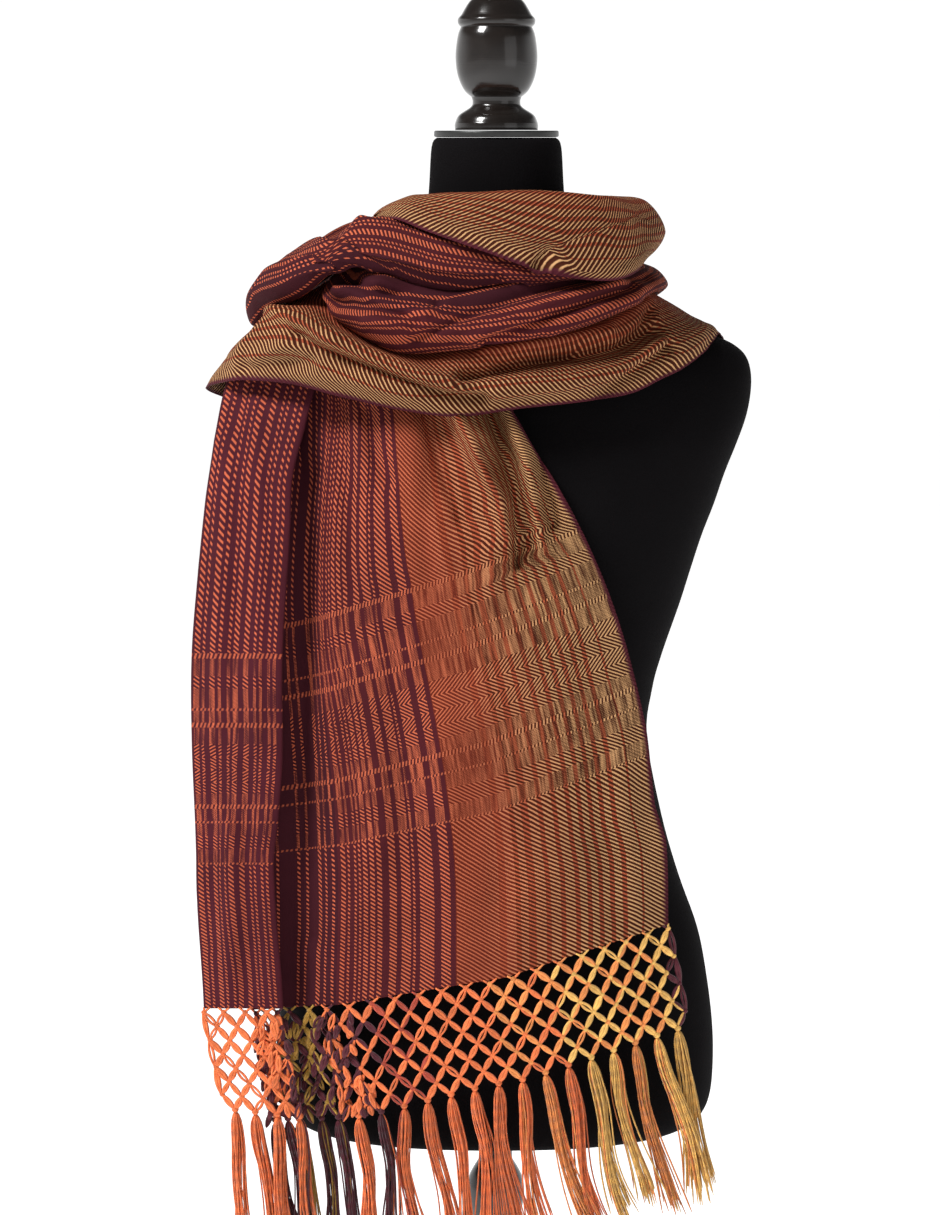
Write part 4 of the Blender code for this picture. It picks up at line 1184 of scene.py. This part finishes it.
def make_tail(finish, rests):
    """The hanging tail; returns its points by row and column."""
    grid, across = tail_grid()
    grid = laid_over(grid.reshape(-1, 3), rests).reshape(grid.shape)
    along = np.linspace(0, TAIL_LENGTH, TAIL_ROWS)[:, None] + np.zeros((1, TAIL_COLUMNS))
    tail = cloth_piece("tail_cloth", "shawl_tail", grid, across, along, across, finish)
    return grid


def wrap_places(seams, closed):
    """Places along a wrap's rows from seam to seam, each drawn back by half a seam."""
    stretches = []
    for index in range(len(seams) - 1):
        half_seam = 0.5 * SEAM / SECTION_LENGTH
        begin = seams[index] + (half_seam if index or closed else 0.0)
        last = index == len(seams) - 2 and not closed
        end = seams[index + 1] - (0.0 if last else half_seam)
        stretches.append(np.linspace(begin, end, round((end - begin) * WRAP_STEPS) + 1))
    return stretches


def outwards(grid):
    """Unit directions in which a wrap's creases stand out: away from the axis, mixed with its normal."""
    away = grid * np.array([1.0, 1.0, 0.0])
    away /= np.maximum(np.linalg.norm(away, axis=2, keepdims=True), TINY)
    mixed = CREASE_AWAY * away + (1.0 - CREASE_AWAY) * grid_normals(grid)
    return mixed / np.linalg.norm(mixed, axis=2, keepdims=True)


def creased(grid, drawn, places, columns, front, hidden):
    """A wrap's points raised or pressed in along the creases of its front and of its hidden sides."""
    heights = np.zeros(grid.shape[:2])
    for creases, start, end in front:
        near = np.clip(places - start + 1.0, 0, 1) * np.clip(end + 1.0 - places, 0, 1)
        heights += crease_heights(drawn[..., 0], drawn[..., 1], creases) * near[:, None]
    heights *= np.clip(drawn[..., 2] / FRONT_REACH, 0, 1)
    spacing = np.array([SECTION_LENGTH, reached(grid, 1)[:, -1].mean() / columns[-1]])
    scaled = [(height, half_width, np.multiply(line, spacing)) for height, half_width, line in hidden]
    first = places[:, None] * spacing[0] + np.zeros((1, len(columns)))
    second = columns[None, :] * spacing[1] + np.zeros((len(places), 1))
    heights += crease_heights(first, second, scaled)
    height, step_across, step_along, wander = WRAP_RIPPLES
    turns = np.sin(first / step_along + 1.6 * np.sin(second / wander))
    heights += height * turns * np.sin(second / step_across)
    fade = np.clip(columns / HEM_FADE, 0, 1) * np.clip((columns[-1] - columns) / TUCK_FADE, 0, 1)
    return grid + outwards(grid) * (heights * fade)[..., None] * MM


def sampled(rows, places, columns, closed):
    """A wrap's sections joined smoothly along and across, at the given places."""
    along_rows = smooth(rows, places, closed)
    return smooth(along_rows.transpose(1, 0, 2), columns).transpose(1, 0, 2)


def make_wrap(wrap, pieces, rests):
    """The stretches of one wrap; returns what the next wrap rests on.

    A piece is its name, node and slot, which way its warp runs along the wrap, and its finish; the slot is not
    used."""
    rows, seams, front, hidden, cut_at, closed = wrap
    stretches = wrap_places(seams, closed)
    places = np.concatenate(stretches)
    columns = np.linspace(0, len(rows[0]) - 1, SECTION_POINTS)
    base = sampled(placed(rows), places, columns, closed)
    drawn = sampled(np.array(rows, float), places, columns, closed)
    shaped = creased(base, drawn, places, columns, front, hidden)
    pins = [int(round(key * (SECTION_POINTS - 1) / columns[-1])) for key in range(len(rows[0]))]
    across = pinned(shaped, pins, reached(base, 1)[:, pins])
    along = reached(base, 0).mean(axis=1, keepdims=True) + np.zeros((1, SECTION_POINTS))
    stripe = pinned(shaped, pins, cut_at(places, columns)[:, pins])
    grid = laid_over(shaped.reshape(-1, 3), rests).reshape(base.shape)
    surfaces = []
    start = 0
    for stretch, (name, node, slot, direction, finish) in zip(stretches, pieces):
        span = slice(start, start + len(stretch))
        warp = direction * along[span]
        piece = cloth_piece(name, node, grid[span], across[span], warp, stripe[span], finish)
        points = grid[span].reshape(-1, 3)
        surfaces.append((surface_of(points, grid_faces(len(stretch), SECTION_POINTS)), CLOTH_GAP))
        start += len(stretch)
    return surfaces


def spread_cut(cut, places, columns):
    """Where each point of a wrap lies across the cloth, when every section shows the same part of it."""
    return np.interp(columns, np.arange(len(cut)), cut)[None, :] + np.zeros((len(places), 1))


def shoulder_cut(places, columns):
    return spread_cut(SHOULDER_CUT, places, columns)


def rising_cut(places, columns):
    """The rising wrap comes nearer the orange stripes towards its right end."""
    slant = RISING_SLANT * np.clip((places - SLANT_MIDDLE) / SLANT_ROWS, -1.0, 1.0)[:, None]
    return spread_cut(RISING_CUT, places, columns) - slant


def upper_cut(places, columns):
    """The upper wrap shows the maroon half at its start and the tan half on the collar."""
    share = np.clip((places - COLLAR_START) / COLLAR_ROWS, 0, 1)[:, None]
    start = spread_cut(UPPER_CUT, places, columns)
    return start * (1 - share) + spread_cut(COLLAR_CUT, places, columns) * share


def tube(path, radii, sides, ups):
    """Points of a tube round a path, with a radius for each ring, and each ring's distance along the path."""
    path = np.asarray(path, float)
    ahead = np.gradient(path, axis=0)
    ahead /= np.maximum(np.linalg.norm(ahead, axis=1, keepdims=True), TINY)
    side = np.cross(ahead, ups)
    side /= np.maximum(np.linalg.norm(side, axis=1, keepdims=True), TINY)
    other = np.cross(side, ahead)
    turn = np.arange(sides) * 2 * math.pi / sides
    ring = np.cos(turn)[None, :, None] * side[:, None, :] + np.sin(turn)[None, :, None] * other[:, None, :]
    points = path[:, None, :] + ring * np.asarray(radii)[:, None, None]
    steps = np.concatenate([[0.0], np.cumsum(np.linalg.norm(np.diff(path, axis=0), axis=1))])
    return points, steps


class YarnMesh:
    """Many yarns gathered into one mesh, each with its colour and its place along and around it."""

    def __init__(self):
        self.points = []
        self.faces = []
        self.places = []
        self.colours = []
        self.count = 0

    def add(self, path, radii, sides, colour):
        points, steps = tube(path, radii, sides, np.array([0.0, 1.0, 0.03]))
        rings = len(points)
        self.faces.extend((self.count + ring_faces(rings, sides)).tolist())
        self.faces.append(list(range(self.count, self.count + sides))[::-1])
        last = self.count + (rings - 1) * sides
        self.faces.append(list(range(last, last + sides)))
        self.points.append(points.reshape(-1, 3))
        around = np.arange(sides)[None, :] / sides + np.zeros((rings, 1))
        along = steps[:, None] + np.zeros((1, sides))
        self.places.append(np.stack([around * MM, along], axis=-1).reshape(-1, 2))
        self.colours.append(np.tile(colour, (rings * sides, 1)))
        self.count += rings * sides

    def build(self, name, node, finish):
        made = mesh_object(name, np.concatenate(self.points), self.faces, finish)
        corner_map(made, "Yarn", np.concatenate(self.places))
        corner_colour(made, "YarnColour", np.concatenate(self.colours))
        return stand_for(made, node)


def fringe_colour(share, chance):
    """The colour of a yarn at a share of the hem, one of its zone's two, a little lighter or darker."""
    zone = [row for row in FRINGE_ZONES if row[0] <= share][-1]
    picked = np.array(zone[1 + int(chance.random() < 0.5)])
    return picked * chance.uniform(0.8, 1.12)


def hem_point(hem, share):
    """A point of the hem at a share of its length, counted from the flap's selvedge."""
    steps = np.linalg.norm(np.diff(hem, axis=0), axis=1)
    lengths = np.concatenate([[0], np.cumsum(steps)])
    at = share * lengths[-1]
    return np.array([np.interp(at, lengths, hem[:, axis]) for axis in range(3)])


def net_spot(hem, column, level):
    """A knot's place in the net: how its yarn hangs from the hem."""
    share = column / NET_COLUMNS
    sag = 1.0 + NET_SAG * math.sin(math.pi * min(1.0, share * NET_SAG_SPREAD))
    drop = np.array([NET_SWAY, 0.0, -NET_DROP * sag]) * MM
    start = np.array([0.0, 0.0, -KNOT_DROP * MM])
    return hem_point(hem, share) + start + drop * level / NET_LEVELS


def net_columns(level):
    if level % 2 == 0:
        return [float(column) for column in range(NET_COLUMNS + 1)]
    return [column + 0.5 for column in range(NET_COLUMNS)]


def petal(yarns, start, end, colours, chance):
    """One loose leaf-shaped stretch between two knots: two strands that part and meet again."""
    share = np.linspace(0, 1, STRAND_RINGS)
    arch = np.sin(math.pi * share)
    side = np.array([end[2] - start[2], 0.0, start[0] - end[0]])
    side /= np.linalg.norm(side)
    parted = chance.random() < PARTED_SHARE
    widest = chance.uniform(0.85, 1.15) * (PARTED_WIDTH if parted else 1.0)
    bow = STRAND_BOW * widest * (PARTED_BOW if parted else 1.0)
    lift = chance.uniform(0.4, 1.4)
    for half, colour in zip((-1, 1), colours):
        path = start + (end - start) * share[:, None]
        path += side * (half * bow * MM * arch)[:, None]
        path[:, 1] -= lift * MM * arch
        radii = (STRAND_THINNEST + (STRAND_WIDEST * widest - STRAND_THINNEST) * arch**0.8) * MM
        yarns.add(path, radii, STRAND_SIDES, colour)


def knot(yarns, centre, radius, colour, chance):
    """A small tight knot: a short fat turn of yarn, wider across than it is tall."""
    share = np.linspace(0, 1, KNOT_RINGS)
    lean = np.array([chance.uniform(-0.5, 0.5), chance.uniform(-0.3, 0.3), 1.0])
    path = centre + (share[:, None] - 0.5) * lean * KNOT_LENGTH * radius * MM
    radii = radius * MM * (0.35 + 0.65 * np.sin(math.pi * share) ** 0.6)
    yarns.add(path, radii, KNOT_SIDES, colour)


def petal_colours(share, chance):
    first = fringe_colour(share, chance)
    if chance.random() < MATCHED_SHARE:
        return first, first * chance.uniform(0.85, 1.1)
    return first, fringe_colour(share, chance)


def petals_below(yarns, hem, column, level, chance):
    """The petals from one knot down to the two knots below it."""
    top = net_spot(hem, column, level)
    for side in (-0.5, 0.5):
        if 0 <= column + side <= NET_COLUMNS:
            colours = petal_colours((column + side / 2) / NET_COLUMNS, chance)
            petal(yarns, top, net_spot(hem, column + side, level + 1), colours, chance)


def net_row(yarns, hem, level, chance):
    """The knots of one level of the net, and the petals below them."""
    for column in net_columns(level):
        # The knot is drawn darker than its yarn as painted shade
        colour = fringe_colour(column / NET_COLUMNS, chance) * KNOT_SHADE
        knot(yarns, net_spot(hem, column, level), KNOT_RADIUS, colour, chance)
        petals_below(yarns, hem, column, level, chance)


def roots(yarns, hem, column, chance):
    """The warp ends that leave the hem on both sides of one knot of the net's first row."""
    end = net_spot(hem, column, 0)
    for side in (-ROOT_SPREAD, ROOT_SPREAD):
        place = min(max(column + side, 0.0), float(NET_COLUMNS)) / NET_COLUMNS
        start = hem_point(hem, place) + np.array([0.0, 0.0, ROOT_RISE]) * MM
        path = start + (end - start) * np.linspace(0, 1, ROOT_RINGS)[:, None]
        yarns.add(path, np.full(ROOT_RINGS, ROOT_RADIUS * MM), STRAND_SIDES, fringe_colour(place, chance))


def tangle(yarns, hem, chance):
    """Loose petals over the net where the flap's fold crowds it, at odd places and leanings."""
    for _ in range(TANGLE_PETALS):
        column = chance.uniform(*TANGLE_COLUMNS)
        level = chance.uniform(0.2, NET_LEVELS - 0.6)
        start = net_spot(hem, column, level) + np.array([0.0, chance.uniform(-4.0, 2.5), 0.0]) * MM
        run = np.array([chance.uniform(-5.0, 6.0), chance.uniform(-1.5, 1.5), -chance.uniform(8.0, 13.0)])
        petal(yarns, start, start + run * MM, petal_colours(column / NET_COLUMNS, chance), chance)


def make_net(hem, finish):
    """The knotted net as petals of yarn between small knots, down to the level above the tassels."""
    yarns = YarnMesh()
    chance = np.random.default_rng(5)
    last = NET_LEVELS - 1
    for level in range(last):
        net_row(yarns, hem, level, chance)
    for column in net_columns(0):
        roots(yarns, hem, column, chance)
    tangle(yarns, hem, chance)
    for column in (0.0, float(NET_COLUMNS)):
        shift = np.array([-1.0 if column == 0 else 1.0, 0.0, 0.0])
        for level in range(0, last, 2):
            start = net_spot(hem, column, level) + shift * MM
            end = net_spot(hem, column, level + 2) + shift * MM
            edge_colour = ORANGE_YARN if column == 0 else MAROON_YARN
            petal(yarns, start, end, (np.array(edge_colour), np.array(edge_colour)), chance)
    return yarns.build("net_fringe", "shawl_net", finish)


def tassel_line(share, sway, bow, phase):
    """How far to the side a tassel hangs at each share of its length: it leans, sags and waves."""
    wave = bow * (np.sin(phase + TASSEL_WAVES * 2 * math.pi * share) - math.sin(phase))
    return sway * share**1.15 + wave * np.minimum(share * 3, 1)


def thread_path(start, length, line, offset, chance):
    """A thread of a tassel: it swells out under the knot, draws in again, and strays a little on its own."""
    share = np.linspace(0, 1, THREAD_STEPS) ** 1.2
    swell = (1 - np.exp(-share * 22)) * (1.0 - 0.42 * np.minimum(share * 1.6, 1) + 0.26 * share**3)
    stray = chance.uniform(-1.0, 1.0) ** 3 * THREAD_STRAY
    turns, start_turn = chance.uniform(3, 7), chance.uniform(0, 6.3)
    across = tassel_line(share, *line) + offset[0] * swell
    across += (stray * share**1.6 + 0.9 * np.sin(start_turn + turns * share)) * np.minimum(share * 4, 1)
    depth = offset[1] * swell + 0.8 * np.sin(chance.uniform(0, 6.3) + 4.0 * share) * share
    return start + np.stack([across, depth, -length * share], axis=1) * MM


def make_tassels(hem, finish):
    """The net's last row of petals and the tassels under it, each many threads from one knot."""
    yarns = YarnMesh()
    chance = np.random.default_rng(11)
    net_row(yarns, hem, NET_LEVELS - 1, chance)
    for column in net_columns(NET_LEVELS):
        add_tassel(yarns, net_spot(hem, column, NET_LEVELS), column / NET_COLUMNS, chance)
    return yarns.build("tassel_fringe", "shawl_tassels", finish)


def add_tassel(yarns, head, share, chance):
    """A knot and the loose threads that hang from it."""
    main = fringe_colour(share, chance)
    # The tassel's knot is drawn darker than its yarn as painted shade
    knot(yarns, head, KNOT_RADIUS * HEAD_SIZE, main * HEAD_SHADE, chance)
    length = TASSEL_LENGTH * chance.uniform(0.94, 1.04) - 3.0
    lean = float(table_curve(TASSEL_LEANS, np.array([share]))[0, 0])
    line = (lean * chance.uniform(0.7, 1.35), chance.uniform(1.2, 3.4), chance.uniform(0, 2 * math.pi))
    start = head + np.array(HEAD_START) * MM
    for thread in range(TASSEL_THREADS):
        turn = thread * GOLDEN_TURN
        away = math.sqrt((thread + 0.5) / TASSEL_THREADS)
        offset = (TASSEL_HALF_WIDTH * away * math.cos(turn), TASSEL_HALF_DEPTH * away * math.sin(turn))
        path = thread_path(start, length * chance.uniform(0.86, 1.0), line, offset, chance)
        own = chance.random() < OWN_COLOUR_SHARE
        colour = main * chance.uniform(0.78, 1.15) if own else fringe_colour(share, chance)
        radii = np.full(THREAD_STEPS, THREAD_RADIUS * chance.uniform(0.85, 1.15) * MM)
        radii[-1] *= THREAD_TIP
        yarns.add(path, radii, THREAD_SIDES, colour)


def make_shawl(torso):
    whole = (ORANGE_STRIPES, DOTTED_STRIPES, FLAP_STRIPES)
    patterned = woven_cloth("tail_cloth_finish", True, TAIL_TWILL, whole)
    tan = woven_cloth("tan_wrap_finish", False, TAN_WRAP_TWILL, (WRAP_WIDE_STRIPES,))
    wrapped = (WRAP_WIDE_STRIPES, WRAP_DOTTED_STRIPES)
    maroon = woven_cloth("maroon_wrap_finish", False, MAROON_WRAP_TWILL, wrapped)
    yarn = yarn_material()
    torso_faces = [tuple(polygon.vertices) for polygon in torso.data.polygons]
    torso_surface = surface_of([vertex.co for vertex in torso.data.vertices], torso_faces)
    rests = [(torso_surface, TORSO_GAP)]
    tail = make_tail(patterned, rests)
    tail_surface = surface_of(tail.reshape(-1, 3), grid_faces(TAIL_ROWS, TAIL_COLUMNS))
    shoulder_front = ((SHOULDER_FRONT_CREASES, 0.0, 22.0),)
    shoulder = (SHOULDER_WRAP, SHOULDER_SEAMS, shoulder_front, SHOULDER_CREASES, shoulder_cut, True)
    shoulder_pieces = (
        ("shoulder_cloth_front", "shawl_shoulder_front", "tan_twill_cloth", -1, tan),
        ("shoulder_cloth_back", "shawl_shoulder_back", "tan_twill_cloth", -1, tan),
    )
    rests += make_wrap(shoulder, shoulder_pieces, rests + [(tail_surface, CLOTH_GAP)])
    rising_front = ((RISING_FRONT_CREASES, 0.0, 16.0),)
    rising = (RISING_WRAP, RISING_SEAMS, rising_front, RISING_CREASES, rising_cut, False)
    rising_pieces = (
        ("rising_cloth_front", "shawl_rising_front", "maroon_stripe_cloth", -1, maroon),
        ("rising_cloth_back", "shawl_rising_back", "maroon_stripe_cloth", -1, maroon),
    )
    rests += make_wrap(rising, rising_pieces, rests)
    upper_front = ((UPPER_FRONT_CREASES, 0.0, 9.0), (COLLAR_FRONT_CREASES, 15.0, 22.0))
    upper = (UPPER_WRAP, UPPER_SEAMS, upper_front, UPPER_CREASES, upper_cut, False)
    upper_pieces = (
        ("upper_cloth_front", "shawl_upper_front", "maroon_stripe_cloth", 1, maroon),
        ("upper_cloth_back", "shawl_upper_back", "maroon_stripe_cloth", 1, maroon),
        ("collar_cloth", "shawl_collar", "tan_twill_cloth", -1, tan),
    )
    make_wrap(upper, upper_pieces, rests)
    hem = tail[0][::-1]
    make_net(hem, yarn)
    make_tassels(hem, yarn)


def make_camera():
    pitch = math.radians(VIEW_PITCH)
    target = placed((VIEW_CENTRE_ACROSS, VIEW_CENTRE_UP, 0.0))
    away = np.array([0.0, -math.cos(pitch), math.sin(pitch)]) * VIEW_DISTANCE * MM
    camera = bpy.data.objects.new("camera", bpy.data.cameras.new("camera"))
    bpy.context.scene.collection.objects.link(camera)
    camera.location = Vector(target + away)
    camera.rotation_euler = Vector(-away).to_track_quat("-Z", "Y").to_euler()
    camera.data.sensor_fit = "VERTICAL"
    camera.data.sensor_height = SENSOR_HEIGHT
    camera.data.lens = SENSOR_HEIGHT * VIEW_DISTANCE / VIEW_HEIGHT
    bpy.context.scene.camera = camera


def area_light(name, place, target, size, power):
    light = bpy.data.objects.new(name, bpy.data.lights.new(name, "AREA"))
    light.data.shape = "SQUARE"
    light.data.size = size
    light.data.energy = power
    bpy.context.scene.collection.objects.link(light)
    light.location = place
    light.rotation_euler = (Vector(target) - Vector(place)).to_track_quat("-Z", "Y").to_euler()


def pale_finish(name, glow):
    """A matt white with a faint tone, lit a little from within so that it stays as white as a sweep."""
    shader = Shader(name)
    where = shader.node("ShaderNodeTexCoord").outputs["Object"]
    tone = shader.noise(where, 3.0, 3.0)
    colour = shader.mix(tone, (0.86, 0.86, 0.86), (0.90, 0.90, 0.90))
    shader.surface.inputs["Emission Color"].default_value = (1.0, 1.0, 1.0, 1.0)
    shader.surface.inputs["Emission Strength"].default_value = glow
    return shader.finish(colour, 0.9, Specular_IOR_Level=0.0)


def make_sky():
    """A surround that is white behind the form, and dimmer on the viewer's side and overhead."""
    world = bpy.data.worlds.new("studio")
    world.use_nodes = True
    tree = world.node_tree
    where = tree.nodes.new("ShaderNodeTexCoord")
    parts = tree.nodes.new("ShaderNodeSeparateXYZ")
    tree.links.new(where.outputs["Generated"], parts.inputs[0])
    sides = sky_levels(tree, parts.outputs[1], SIDE_SKY, FRONT_SKY, BACK_SKY)
    levels = sky_levels(tree, parts.outputs[2], (LOW_SKY_TOP, HIGH_SKY_START), BACK_SKY, HIGH_SKY)
    tree.links.new(sides.outputs["Result"], levels.inputs["To Min"])
    tree.links.new(levels.outputs["Result"], tree.nodes["Background"].inputs["Color"])
    bpy.context.scene.world = world


def sky_levels(tree, direction, span, start, end):
    """The surround's brightness as it changes smoothly along one direction, between two places of it."""
    levels = tree.nodes.new("ShaderNodeMapRange")
    levels.interpolation_type = "SMOOTHSTEP"
    levels.inputs["From Min"].default_value = span[0]
    levels.inputs["From Max"].default_value = span[1]
    levels.inputs["To Min"].default_value = start
    levels.inputs["To Max"].default_value = end
    tree.links.new(direction, levels.inputs["Value"])
    return levels


def make_studio():
    """A pale floor, a surround that is white behind the form and dimmer on the viewer's side and overhead, and
    soft lights from the upper left and the right.
    """
    make_sky()
    bpy.context.scene.view_settings.view_transform = "Standard"
    corners = [(x * FLOOR_REACH, y * FLOOR_REACH, 0.0) for x, y in ((-1, -1), (1, -1), (1, 1), (-1, 1))]
    mesh_object("pale_floor", corners, [(0, 1, 2, 3)], pale_finish("pale_floor_finish", FLOOR_GLOW))
    for light in LIGHTS:
        area_light(*light)


def main():
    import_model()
    make_camera()
    make_studio()
    make_shawl(make_form())
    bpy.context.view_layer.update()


main()
